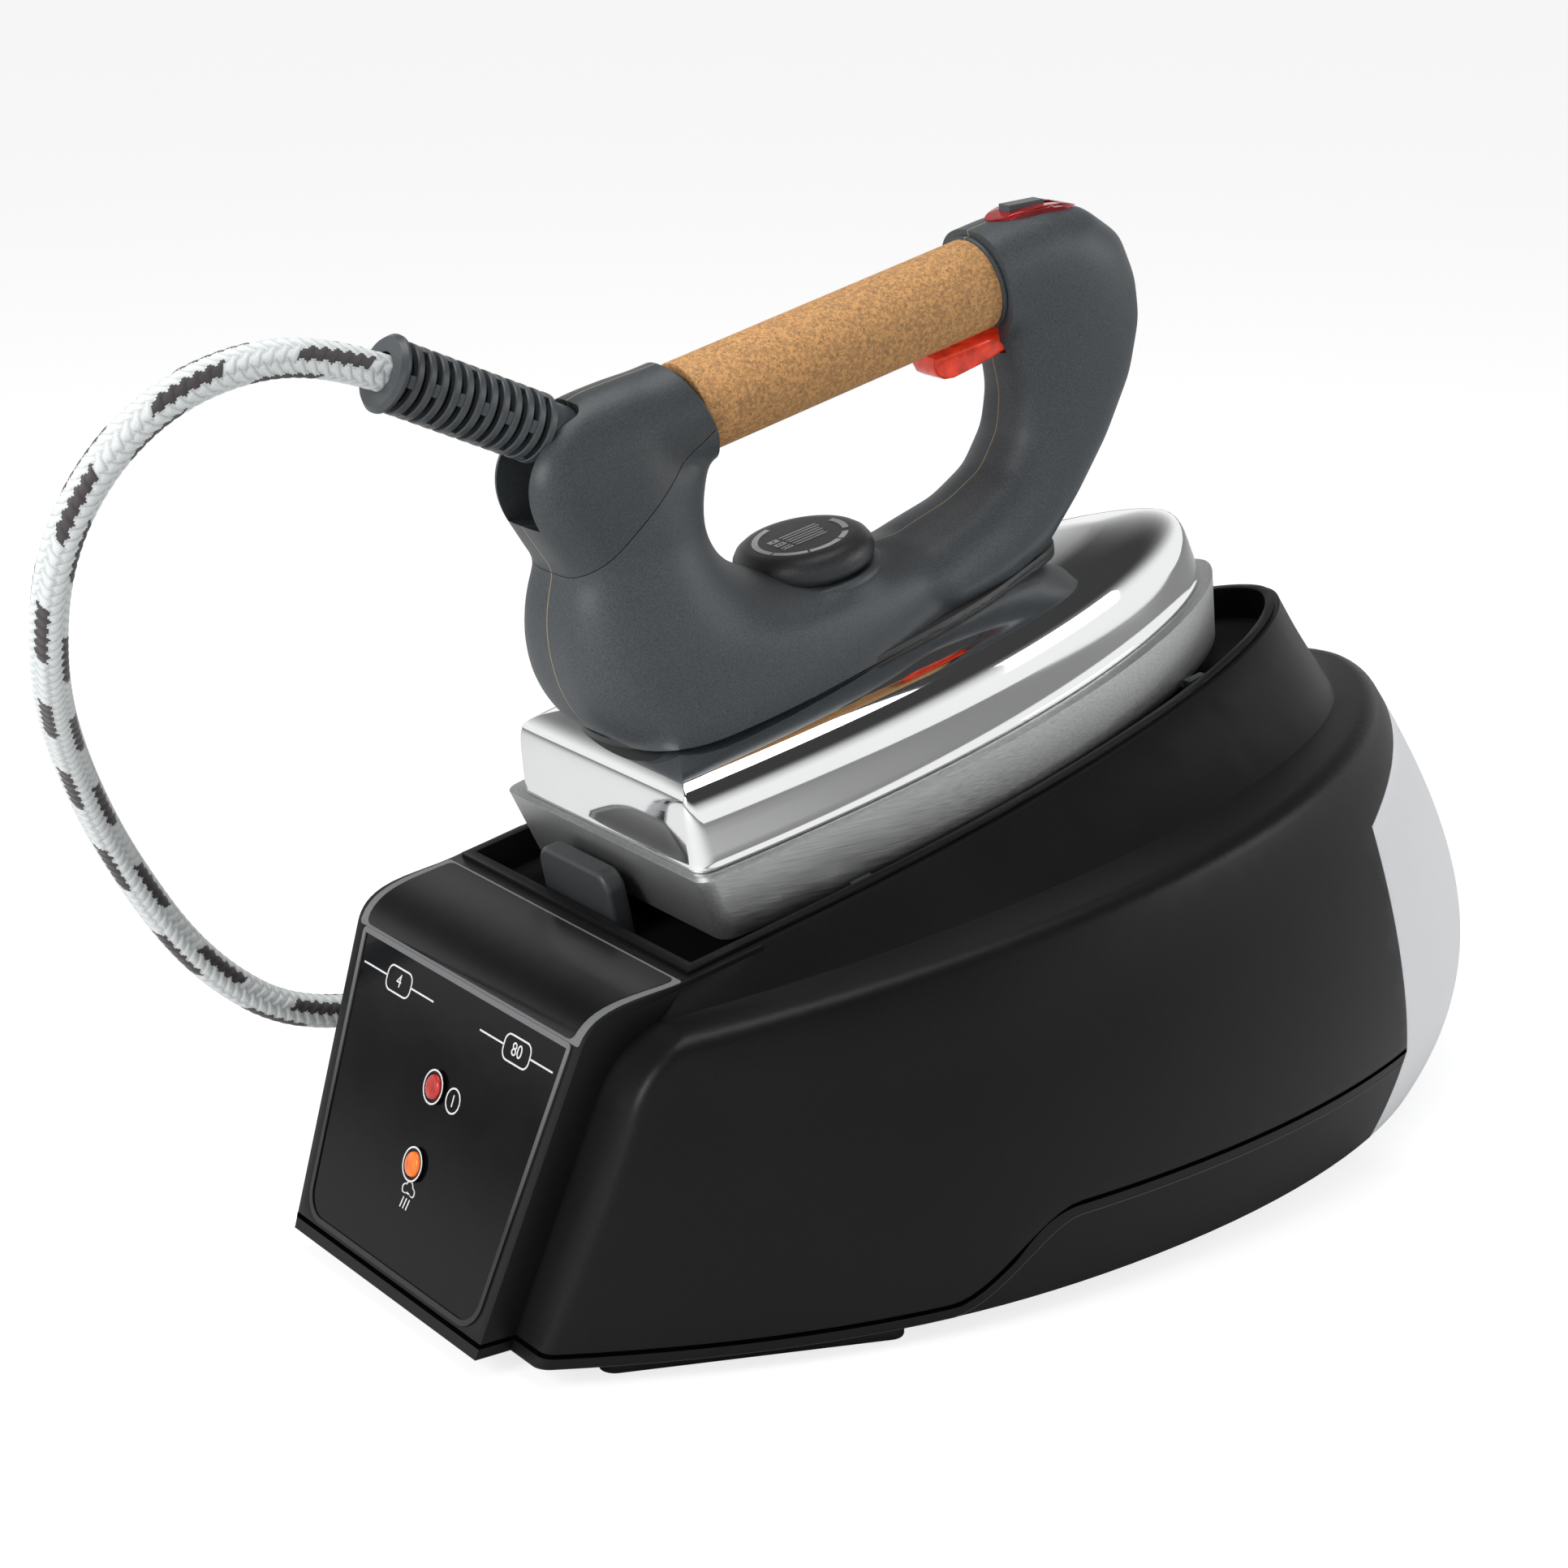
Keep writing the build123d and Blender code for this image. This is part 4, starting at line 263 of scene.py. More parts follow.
@dataclass(frozen=True)
class ShadedTowardFloor(Moulded):
    """Moulded plastic with painted shade: its tone falls away toward the floor."""

    heights: Flat = (40.0, 96.0)
    shaded_foot_tone: float = 0.06

    def dress(self, graph: Graph) -> None:
        """Painted shade between two heights, darker toward the floor, with the grain of a moulding."""
        spots = graph.spots()
        fine = graph.noise(spots, self.grain, 3.0)
        up = graph.node("SeparateXYZ", {"Vector": spots}).outputs["Z"]
        share = graph.node("MapRange", {"Value": up, "From Min": self.heights[0] * MM,
                                        "From Max": self.heights[1] * MM})
        body = graph.ramp(fine, [(0.3, self.tone(1 - self.contrast)), (0.7, self.tone(1 + self.contrast))])
        # painted shade: the colour falls to the shaded foot tone below the lower height
        graph.shade(Base_Color=graph.mix(share.outputs["Result"], self.tone(self.shaded_foot_tone), body))
        graph.shade(Roughness=graph.span(fine, self.roughness - 0.06, self.roughness + 0.06))
        graph.shade(Specular_IOR_Level=self.specular)
        graph.bump(fine, self.depth)


@dataclass(frozen=True)
class SoftTouch(Moulded):
    """Speckled soft-touch plastic with a pale parting line on the middle plane."""

    seam: Colour = (0.30, 0.24, 0.14, 1.0)
    seam_half: float = 0.22

    def dress(self, graph: Graph) -> None:
        """Speckles, a fine grain and the parting line."""
        spots = graph.spots()
        fine = graph.noise(spots, self.grain, 3.0)
        flecks = graph.node("TexVoronoi", {"Vector": spots, "Scale": 900.0}).outputs["Distance"]
        tones = [(0.34, self.tone(1 - self.contrast)), (0.66, self.tone(1 + self.contrast))]
        body = graph.ramp(fine, tones)
        fleck_share = graph.ramp(flecks, [(0.0, grey(0.5)), (0.13, grey(0.0))])
        flecked = graph.mix(fleck_share, body, self.tone(2.6))
        side = graph.node("SeparateXYZ", {"Vector": spots}).outputs["Y"]
        line = graph.math("LESS_THAN", graph.math("ABSOLUTE", side), self.seam_half * MM)
        graph.shade(Base_Color=graph.mix(line, flecked, self.seam), Specular_IOR_Level=self.specular)
        graph.shade(Roughness=graph.span(fine, self.roughness - 0.05, self.roughness + 0.05))
        graph.bump(fine, self.depth)


@dataclass(frozen=True)
class Gloss(Finish):
    """Glossy plastic or lacquer with a faint ripple and handling marks."""

    specular: float = 0.5

    def dress(self, graph: Graph) -> None:
        """Ripple in the relief and marks in the gloss."""
        spots = graph.spots()
        marks = graph.noise(spots, 60.0, 4.0)
        graph.shade(Base_Color=graph.ramp(marks, [(0.3, self.tone(0.85)), (0.7, self.tone(1.15))]))
        graph.shade(Roughness=graph.span(marks, self.roughness * 0.7, self.roughness * 1.4))
        graph.shade(Specular_IOR_Level=self.specular)
        graph.bump(graph.noise(spots, 90.0), 0.02)


@dataclass(frozen=True)
class Metal(Finish):
    """Metal with brush lines along the iron, or polished where the lines are shallow."""

    brush: float = 0.02
    lines: float = 2600.0
    spread: float = 0.1

    def dress(self, graph: Graph) -> None:
        """Stretched lines in tone, gloss and relief."""
        spots = graph.spots((0.02, 1.0, 1.0), (0.0, DECK_TILT, 0.0))
        line = graph.noise(spots, self.lines, 4.0)
        graph.shade(Base_Color=graph.ramp(line, [(0.3, self.tone(1 - self.spread)), (0.7, self.tone(1.0))]))
        graph.shade(Roughness=graph.span(line, self.roughness * 0.8, self.roughness * 1.2), Metallic=1.0)
        graph.bump(line, self.brush)


@dataclass(frozen=True)
class Cork(Finish):
    """Pressed cork granules with dark pits."""

    granule: float = 900.0

    def dress(self, graph: Graph) -> None:
        """Two sizes of granule, pits and their relief."""
        spots = graph.spots()
        warp = graph.noise(spots, 700.0, 3.0)
        cells = graph.node("TexVoronoi", {"Vector": spots, "Scale": self.granule})
        crumbs = graph.node("TexVoronoi", {"Vector": spots, "Scale": self.granule * 2.3})
        each = graph.node("SeparateColor", {"Color": cells.outputs["Color"]}).outputs["Red"]
        crumb = graph.node("SeparateColor", {"Color": crumbs.outputs["Color"]}).outputs["Green"]
        tone = graph.math("MULTIPLY_ADD", each, 0.45, graph.math("MULTIPLY_ADD", crumb, 0.35, warp))
        browns = [(0.5, self.tone(0.62)), (0.72, self.tone(0.88)), (0.95, self.tone(1.0)),
                  (1.2, self.tone(1.3))]
        pits = graph.ramp(graph.noise(spots, 1900.0, 2.0), [(0.29, grey(0.75)), (0.37, grey(0.0))])
        graph.shade(Base_Color=graph.mix(pits, graph.ramp(tone, browns), self.tone(0.24)))
        graph.shade(Roughness=graph.span(each, self.roughness - 0.1, self.roughness + 0.1))
        graph.bump(graph.math("SUBTRACT", tone, pits), 0.12)


@dataclass(frozen=True)
class Tinted(Finish):
    """Tinted clear plastic with flow lines inside."""

    clear: float = 0.6
    glow: float = 0.0

    def dress(self, graph: Graph) -> None:
        """Tint, clarity and a little light of its own."""
        flow = graph.noise(graph.spots(), 260.0, 3.0)
        tint = graph.ramp(flow, [(0.35, self.tone(0.7)), (0.65, self.tone(1.25))])
        graph.shade(Base_Color=tint, Transmission_Weight=self.clear, IOR=1.49)
        # glow is emission: lamp light in the lenses, painted glow in the trigger
        graph.shade(Emission_Color=tint, Emission_Strength=self.glow)
        graph.shade(Roughness=graph.span(flow, self.roughness * 0.7, self.roughness * 1.3))
        graph.bump(flow, 0.02)


@dataclass(frozen=True)
class Braid(Finish):
    """Woven yarn with painted shade in the creases that come with the tube."""

    crease_shade: float = 0.42

    def dress(self, graph: Graph) -> None:
        """Yarn with painted shade darkening into the creases, with fibres."""
        rise = graph.node("Attribute", {}, attribute_name="yarn_rise").outputs["Fac"]
        fibre = graph.noise(graph.spots(), 3200.0, 3.0)
        # painted shade: the yarn darkens where it sinks into a crease
        yarn = graph.ramp(rise, [(0.0, self.tone(self.crease_shade)), (0.55, self.tone(0.88)),
                                 (1.0, self.tone(1.0))])
        strands = graph.ramp(fibre, [(0.35, grey(0.85)), (0.65, grey(1.0))])
        mixed = graph.node("MixRGB", {"Fac": 1.0, "Color1": yarn, "Color2": strands}, blend_type="MULTIPLY")
        graph.shade(Base_Color=mixed.outputs["Color"], Sheen_Weight=0.2)
        graph.shade(Roughness=graph.span(fibre, self.roughness - 0.1, self.roughness + 0.1))
        graph.bump(fibre, 0.06)


@dataclass(frozen=True)
class Ink(Finish):
    """Printed ink with a soft mottle."""

    def dress(self, graph: Graph) -> None:
        """Mottle in tone and gloss."""
        mottle = graph.noise(graph.spots(), 800.0, 2.0)
        graph.shade(Base_Color=graph.ramp(mottle, [(0.3, self.tone(0.88)), (0.7, self.tone(1.0))]))
        graph.shade(Roughness=graph.span(mottle, self.roughness - 0.08, self.roughness + 0.08))
        graph.bump(mottle, 0.01)


class Finishes(Enum):
    """Every finish of the station."""

    CASING = Moulded("casing_black", (0.0082, 0.0082, 0.0085, 1), 0.38, 1800.0, 0.02, 0.2, 0.15)
    TRAY = Moulded("cradle_black", (0.0070, 0.0070, 0.0073, 1), 0.38, 1800.0, 0.02, 0.2, 0.13)
    PANEL = Gloss("panel_gloss_black", (0.0032, 0.0032, 0.0040, 1), 0.10, 0.14)
    BAND = Gloss("band_gloss_black", (0.0042, 0.0043, 0.0046, 1), 0.16, 0.30)
    # trim with painted shade, darker toward the floor
    TRIM = ShadedTowardFloor("trim_silver_grey", (0.170, 0.172, 0.176, 1), 0.40, 2600.0, 0.01, 0.12, 0.4)
    SLATE = SoftTouch("handle_slate", (0.060, 0.069, 0.076, 1), 0.47, 2400.0, 0.025, 0.30, 0.38)
    CAP = SoftTouch("cap_slate", (0.050, 0.057, 0.062, 1), 0.45, 2400.0, 0.025, 0.30, 0.38)
    RELIEF = Moulded("relief_rubber", (0.058, 0.066, 0.072, 1), 0.40, 1600.0, 0.02, 0.2, 0.45)
    # near-black painted shade for the strain relief's hollow
    SHADE_CORE = Moulded("relief_painted_shade", (0.010, 0.009, 0.009, 1), 0.7, 900.0, 0.05, 0.4, 0.3)
    # near-black painted shade for the gap between casing and tray
    PARTING_SHADE = Moulded("parting_painted_shade", (0.0012, 0.0012, 0.0012, 1), 0.9, 900.0, 0.02, 0.3, 0.0)
    # lighter grey as a painted highlight on the tray's upper edge
    TRAY_EDGE_HIGHLIGHT = Moulded("tray_edge_highlight", (0.020, 0.020, 0.021, 1), 0.45, 1800.0, 0.01, 0.15, 0.4)
    DIAL = Moulded("dial_grained", (0.030, 0.032, 0.034, 1), 0.42, 1300.0, 0.10, 0.3, 0.4)
    STOP = Moulded("heel_stop_grey", (0.042, 0.045, 0.047, 1), 0.42, 1800.0, 0.02, 0.2, 0.4)
    CORK = Cork("grip_cork", (0.53, 0.280, 0.105, 1), 0.72, 1250.0)
    TANK = Moulded("tank_white", (0.83, 0.845, 0.87, 1), 0.38, 1500.0, 0.01, 0.03, 0.45)
    CHROME = Metal("skirt_chrome", (0.86, 0.865, 0.87, 1), 0.045, 0.0, 40.0, 0.03)
    SOLE = Metal("sole_brushed", (0.56, 0.565, 0.57, 1), 0.48, 0.03, 2600.0, 0.28)
    STEEL = Metal("inner_steel", (0.52, 0.52, 0.51, 1), 0.30, 0.01, 1500.0, 0.2)
    BRASS = Metal("inner_brass", (0.62, 0.43, 0.18, 1), 0.30, 0.01, 900.0, 0.2)
    LIGHT_METAL = Metal("inner_aluminium", (0.60, 0.61, 0.62, 1), 0.36, 0.01, 900.0, 0.2)
    RUBBER = Moulded("foot_rubber", (0.013, 0.013, 0.013, 1), 0.70, 900.0, 0.05, 0.3, 0.35)
    FITTING = Moulded("dark_fitting", (0.030, 0.030, 0.032, 1), 0.46, 1500.0, 0.02, 0.2, 0.45)
    PUMP = Moulded("pump_grey", (0.26, 0.265, 0.27, 1), 0.5, 1200.0, 0.02, 0.1, 0.45)
    SILICONE = Moulded("tube_silicone", (0.55, 0.55, 0.52, 1), 0.42, 700.0, 0.02, 0.08, 0.45)
    BOARD = Gloss("circuit_green", (0.020, 0.110, 0.040, 1), 0.30, 0.5)
    # painted glow: the trigger gives off light though it is no lamp
    TRIGGER = Tinted("trigger_orange", (0.80, 0.060, 0.022, 1), 0.14, 0.35, 0.16)
    BEZEL = Tinted("bezel_red", (0.34, 0.006, 0.008, 1), 0.12, 0.10, 0.0)
    RED_LENS = Tinted("lens_red", (0.52, 0.030, 0.026, 1), 0.20, 0.25, 0.16)
    AMBER_LENS = Tinted("lens_amber", (0.88, 0.180, 0.018, 1), 0.20, 0.25, 0.20)
    # the braids' last numbers set their painted crease shade
    BRAID = Braid("hose_braid", (0.88, 0.92, 0.92, 1), 0.62, 0.55)
    DARK_BRAID = Braid("hose_braid_dark", (0.062, 0.052, 0.055, 1), 0.55, 0.6)
    WHITE_INK = Ink("print_white", (0.80, 0.80, 0.80, 1), 0.42)
    SILVER_INK = Ink("print_silver", (0.52, 0.545, 0.565, 1), 0.40)
    SLIDER = Moulded("slider_grey", (0.075, 0.085, 0.092, 1), 0.40, 1800.0, 0.02, 0.15, 0.5)


class Bench:
    """Operators that pieces are made with, and the fitting of pieces to bodies."""

    @staticmethod
    def turned(profile: Sequence[Flat], steps: int, closed: bool,
               sweep: float = 2 * math.pi) -> bmesh.types.BMesh:
        """Shape turned about the Z axis.

        Args:
            profile: Radii and heights.
            steps: Steps round the sweep.
            closed: Whether the profile returns to its start.
            sweep: Angle in radians, from the X axis.

        Returns:
            The turned mesh.
        """
        bm = bmesh.new()
        verts = [bm.verts.new((r, 0.0, z)) for r, z in profile]
        pairs = list(zip(verts, verts[1:]))
        if closed:
            pairs.append((verts[-1], verts[0]))
        edges = [bm.edges.new(pair) for pair in pairs]
        full = sweep > 6.28
        bmesh.ops.spin(bm, geom=verts + edges, cent=(0, 0, 0), axis=(0, 0, 1), angle=sweep, steps=steps,
                       use_merge=full)
        if not full and closed:
            bmesh.ops.holes_fill(bm, edges=bm.edges)
        bmesh.ops.remove_doubles(bm, verts=bm.verts, dist=1e-4)
        bmesh.ops.recalc_face_normals(bm, faces=bm.faces)
        return bm

    @staticmethod
    def lofted(rings: Sequence[Sequence[Vector]], marks: dict | None = None) -> bmesh.types.BMesh:
        """Closed skin through rings of one count, its first and last rings filled.

        Args:
            rings: Points of each ring, all starting at the same corner.
            marks: Names of vertex attributes, each with a value for every point of every ring.

        Returns:
            The lofted mesh.
        """
        bm = bmesh.new()
        layers = {name: bm.verts.layers.float.new(name) for name in marks or ()}
        start = bmesh.ops.create_circle(bm, segments=len(rings[0]), radius=1.0, cap_ends=False)["verts"]
        index = {vert: i for i, vert in enumerate(start)}
        for vert, i in index.items():
            vert.co = rings[0][i]
            for name, layer in layers.items():
                vert[layer] = marks[name][0][i]
        edges = list(bm.edges)
        first = list(edges)
        for n, ring in enumerate(rings[1:], 1):
            grown = bmesh.ops.extrude_edge_only(bm, edges=edges)["geom"]
            fresh = [g for g in grown if isinstance(g, bmesh.types.BMVert)]
            edges = [g for g in grown if isinstance(g, bmesh.types.BMEdge)]
            places = {}
            for vert in fresh:
                below = next(e.other_vert(vert) for e in vert.link_edges if e.other_vert(vert) in index)
                places[vert] = index[below]
            for vert, i in places.items():
                vert.co = ring[i]
                for name, layer in layers.items():
                    vert[layer] = marks[name][n][i]
            index = places
        bmesh.ops.contextual_create(bm, geom=first)
        bmesh.ops.contextual_create(bm, geom=edges)
        bmesh.ops.recalc_face_normals(bm, faces=bm.faces)
        return bm

    @staticmethod
    def prism(points: Sequence[Flat], half: float) -> bmesh.types.BMesh:
        """Side-view outline carried to both sides of the middle plane."""
        bm = bmesh.new()
        face = bm.faces.new([bm.verts.new((u, -half, w)) for u, w in points])
        grown = bmesh.ops.extrude_face_region(bm, geom=[face])["geom"]
        bmesh.ops.translate(bm, vec=(0, 2 * half, 0),
                            verts=[g for g in grown if isinstance(g, bmesh.types.BMVert)])
        bmesh.ops.recalc_face_normals(bm, faces=bm.faces)
        return bm

    @staticmethod
    def raised(outer: Sequence[Flat], inner: Sequence[Flat], height: float) -> bmesh.types.BMesh:
        """Thin raised band between two closed outlines of one count.

        Args:
            outer: Points of the outer outline.
            inner: Points of the inner outline, or none for a filled shape.
            height: How far the band stands up from the plane.

        Returns:
            The band as a mesh.
        """
        bm = bmesh.new()
        edges = []
        for outline in (outer, inner):
            verts = [bm.verts.new((x, y, 0.0)) for x, y in outline]
            edges += [bm.edges.new(pair) for pair in zip(verts, verts[1:] + verts[:1])]
        if inner:
            bmesh.ops.bridge_loops(bm, edges=edges)
        else:
            bmesh.ops.contextual_create(bm, geom=edges)
        grown = bmesh.ops.extrude_face_region(bm, geom=list(bm.faces))["geom"]
        bmesh.ops.translate(bm, vec=(0, 0, height),
                            verts=[g for g in grown if isinstance(g, bmesh.types.BMVert)])
        bmesh.ops.recalc_face_normals(bm, faces=bm.faces)
        return bm

    @staticmethod
    def joined(meshes: Sequence[bmesh.types.BMesh]) -> bmesh.types.BMesh:
        """One mesh out of several, which are freed."""
        whole = bmesh.new()
        for bm in meshes:
            loose = bpy.data.meshes.new("loose")
            bm.to_mesh(loose)
            bm.free()
            whole.from_mesh(loose)
            bpy.data.meshes.remove(loose)
        return whole

    @staticmethod
    def moved(bm: bmesh.types.BMesh, place: Place | Matrix) -> bmesh.types.BMesh:
        """The mesh carried by a place or a matrix."""
        matrix = place.matrix if isinstance(place, Place) else place
        bmesh.ops.transform(bm, matrix=matrix, verts=bm.verts)
        return bm

    @staticmethod
    def copied(nodes: Sequence[str]) -> bmesh.types.BMesh:
        """Merged copy of frame nodes."""
        bm = bmesh.new()
        for node in nodes:
            bm.from_mesh(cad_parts[node].data)
        bmesh.ops.remove_doubles(bm, verts=bm.verts, dist=1e-5)
        return bm

    @staticmethod
    def grown(bm: bmesh.types.BMesh, rise: float) -> bmesh.types.BMesh:
        """The mesh with its skin pushed out by a rise in millimetres."""
        bmesh.ops.recalc_face_normals(bm, faces=bm.faces)
        bm.normal_update()
        for vert, out in [(vert, vert.normal.copy()) for vert in bm.verts]:
            vert.co += out * rise * MM
        return bm

    @staticmethod
    def worked(bm: bmesh.types.BMesh, tools: Sequence[tuple[str, dict]]) -> bmesh.types.BMesh:
        """The mesh after modifiers.

        Args:
            bm: Mesh to work, which is freed.
            tools: Kinds of modifier with their settings.

        Returns:
            The mesh that comes out.
        """
        mesh = bpy.data.meshes.new("blank")
        bm.to_mesh(mesh)
        bm.free()
        blank = bpy.data.objects.new("blank", mesh)
        bpy.context.scene.collection.objects.link(blank)
        for kind, settings in tools:
            modifier = blank.modifiers.new(kind.lower(), kind)
            for key, value in settings.items():
                setattr(modifier, key, value)
        evaluated = blank.evaluated_get(bpy.context.evaluated_depsgraph_get())
        out = bmesh.new()
        out.from_mesh(evaluated.to_mesh())
        evaluated.to_mesh_clear()
        bpy.data.objects.remove(blank)
        bpy.data.meshes.remove(mesh)
        return out

    @staticmethod
    def cut(bm: bmesh.types.BMesh, cutters: Sequence[bmesh.types.BMesh],
            operation: str = "DIFFERENCE") -> bmesh.types.BMesh:
        """The mesh with cutters taken out of it, or only what it shares with them."""
        for cutter in cutters:
            mesh = bpy.data.meshes.new("cutter")
            cutter.to_mesh(mesh)
            cutter.free()
            tool = bpy.data.objects.new("cutter", mesh)
            bpy.context.scene.collection.objects.link(tool)
            bm = Bench.worked(bm, [("BOOLEAN", {"operation": operation, "object": tool, "solver": "EXACT"})])
            bpy.data.objects.remove(tool)
            bpy.data.meshes.remove(mesh)
        return bm

    @staticmethod
    def fit(name: str, bm: bmesh.types.BMesh, finish: Finishes, body: Body | None, slot: str,
            nodes: Sequence[str] = (), sharp: float = 40.0) -> bpy.types.Object:
        """Makes a mesh a piece of the station.

        Args:
            name: Name of the piece.
            bm: Mesh in the part's frame, which is freed.
            finish: Its finish.
            body: Body that it rides on, or none where it bends between two.
            slot: Material slot of the record; not used.
            nodes: Frame nodes that it stands for.
            sharp: Angle in degrees past which an edge stays sharp.

        Returns:
            The new object.
        """
        mesh = bpy.data.meshes.new(name)
        bm.to_mesh(mesh)
        bm.free()
        mesh.materials.append(finish.value.material())
        mesh.shade_smooth()
        mesh.set_sharp_from_angle(angle=math.radians(sharp))
        piece = bpy.data.objects.new(name, mesh)
        bpy.context.scene.collection.objects.link(piece)
        if body:
            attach(piece, body.value)
        if nodes:
            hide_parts(*nodes)
        LOG.info("piece %s: %d faces", name, len(mesh.polygons))
        return piece

    @staticmethod
    def paint(node: str, finish: Finishes, bevel: float = 0.0, segments: int = 2) -> None:
        """Dresses a frame node that stays in sight.

        Args:
            node: Name of the node.
            finish: Its finish.
            bevel: Width in millimetres that its edges are eased by, or none.
            segments: Steps of the easing.
        """
        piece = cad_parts[node]
        piece.data.materials.clear()
        piece.data.materials.append(finish.value.material())
        piece.data.polygons.foreach_set("use_smooth", [True] * len(piece.data.polygons))
        weld = piece.modifiers.new("weld", "WELD")
        weld.merge_threshold = 1e-5
        if bevel:
            plain = piece.modifiers.new("plain", "DECIMATE")
            plain.decimate_type = "DISSOLVE"
            plain.angle_limit = math.radians(0.1)
            eased = piece.modifiers.new("eased", "BEVEL")
            eased.width = bevel * MM
            eased.segments = segments
            eased.limit_method = "ANGLE"
            eased.angle_limit = math.radians(38)
            eased.use_clamp_overlap = True
        split = piece.modifiers.new("split", "EDGE_SPLIT")
        split.split_angle = math.radians(32)
        LOG.info("node %s: %s", node, finish.value.name)


@dataclass
class SteamHose:
    """Braided hose from the strain relief to the gland on the far side of the base."""

    route: tuple[Triple, ...] = (
        (17.8, 0.0, 259.4), (1.9, 0.0, 266.4), (-22.0, 2.0, 271.0), (-48.0, 5.0, 264.0), (-66.0, 11.0, 247.0),
        (-76.0, 20.0, 222.0), (-71.0, 40.0, 188.0), (-53.0, 74.0, 154.0), (-30.0, 97.0, 113.0),
        (-2.0, 103.0, 70.0), (32.0, 101.5, 46.0), (62.0, 101.5, 46.0),
    )
    split: Triple = (-57.0, 8.0, 255.5)
    diameter: float = 10.0
    steps: int = 96
    round_count: int = 60
    columns: int = 8
    stitch: float = 3.3
    relief: float = 0.36
    patch_period: float = 39.6
    patch_share: float = 0.52
    patch_shift: float = 6.0

    def build(self) -> None:
        line = self.centreline()
        middle = GROUND.point(*self.split)
        at = min(range(len(line)), key=lambda i: (line[i] - middle).length)
        run = [0.0]
        for first, second in zip(line, line[1:]):
            run.append(run[-1] + (second - first).length / MM)
        frames = self.frames(line)
        upper = self.tube("steam_hose_top", line, frames, run, 0, at + 1, "steam_hose_upper")
        lower = self.tube("steam_hose_main", line, frames, run, at, len(line), "steam_hose")
        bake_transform(upper, "iron", "hose_swivel", start=line[at], end=line[0])
        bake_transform(lower, "base", "iron", start=line[-1], end=line[at])

    def centreline(self) -> list[Vector]:
        """Points along the hose, read from a spline through its route."""
        curve = bpy.data.curves.new("hose_line", "CURVE")
        curve.dimensions = "3D"
        curve.resolution_u = self.steps
        spline = curve.splines.new("NURBS")
        spline.points.add(len(self.route) - 1)
        for point, spot in zip(spline.points, self.route):
            point.co = (*GROUND.point(*spot), 1.0)
        spline.order_u = 3
        spline.use_endpoint_u = True
        holder = bpy.data.objects.new("hose_line", curve)
        bpy.context.scene.collection.objects.link(holder)
        evaluated = holder.evaluated_get(bpy.context.evaluated_depsgraph_get())
        mesh = bpy.data.meshes.new_from_object(evaluated)
        line = [v.co.copy() for v in mesh.vertices]
        bpy.data.objects.remove(holder)
        bpy.data.meshes.remove(mesh)
        return line

    def frames(self, line: Sequence[Vector]) -> list[tuple[Vector, Vector]]:
        """Two directions across the hose at each point, carried along without twist."""
        across = Vector((0.0, 1.0, 0.0))
        made = []
        for i in range(len(line)):
            ahead = (line[min(i + 1, len(line) - 1)] - line[max(i - 1, 0)]).normalized()
            across = (across - ahead * across.dot(ahead)).normalized()
            made.append((across.copy(), ahead.cross(across)))
        return made

    def weave(self, run: float, share: float) -> tuple[float, float]:
        """Height and darkness of the braid.

        Args:
            run: Length along the hose in millimetres.
            share: Share of the way round it.

        Returns:
            Height of the yarn from 0 to 1, and 1 where the yarn is dark.
        """
        row = run / self.stitch
        zigzag = abs(2 * (row - math.floor(row)) - 1) - 0.5
        column = share * self.columns + 0.30 * zigzag
        number = math.floor(column)
        across = column - number
        odd = number % 2
        slant = 1 - across if odd else across
        stitch = row + 0.9 * slant + 0.5 * odd
        along = stitch - math.floor(stitch)
        rise = math.sin(math.pi * along) ** 0.6 * (1 - 0.75 * (2 * across - 1) ** 4)
        reach = math.floor(stitch) * self.stitch + self.patch_shift * (number % self.columns)
        spot = reach / self.patch_period
        dark = 1.0 if not odd and spot - math.floor(spot) < self.patch_share else 0.0
        return rise, dark

    def tube(self, name: str, line: Sequence[Vector], frames: Sequence[tuple[Vector, Vector]],
             run: Sequence[float], start: int, end: int, node: str) -> bpy.types.Object:
        """Makes one length of the hose.

        Args:
            name: Name of the piece.
            line: Points along the whole hose.
            frames: Directions across it.
            run: Lengths along it in millimetres.
            start: First point of this length.
            end: Point after its last.
            node: Frame node that it stands for.

        Returns:
            The piece, which rides on nothing yet.
        """
        rings = []
        marks = {"yarn_rise": [], "dark_yarn": []}
        low = self.diameter / 2 - self.relief / 2
        for i in range(start, end):
            weaves = [self.weave(run[i], k / self.round_count) for k in range(self.round_count)]
            marks["yarn_rise"].append([rise for rise, _ in weaves])
            marks["dark_yarn"].append([dark for _, dark in weaves])
            first, second = frames[i]
            ring = []
            for k, (rise, _) in enumerate(weaves):
                turn = 2 * math.pi * k / self.round_count
                out = first * math.cos(turn) + second * math.sin(turn)
                ring.append(line[i] + out * (low + self.relief * rise) * MM)
            rings.append(ring)
        bm = Bench.lofted(rings, marks)
        layer = bm.verts.layers.float["dark_yarn"]
        for face in bm.faces:
            face.material_index = int(sum(vert[layer] for vert in face.verts) > len(face.verts) / 2)
        piece = Bench.fit(name, bm, Finishes.BRAID, None, "hose_braid", [node], 70.0)
        piece.data.materials.append(Finishes.DARK_BRAID.value.material())
        return piece


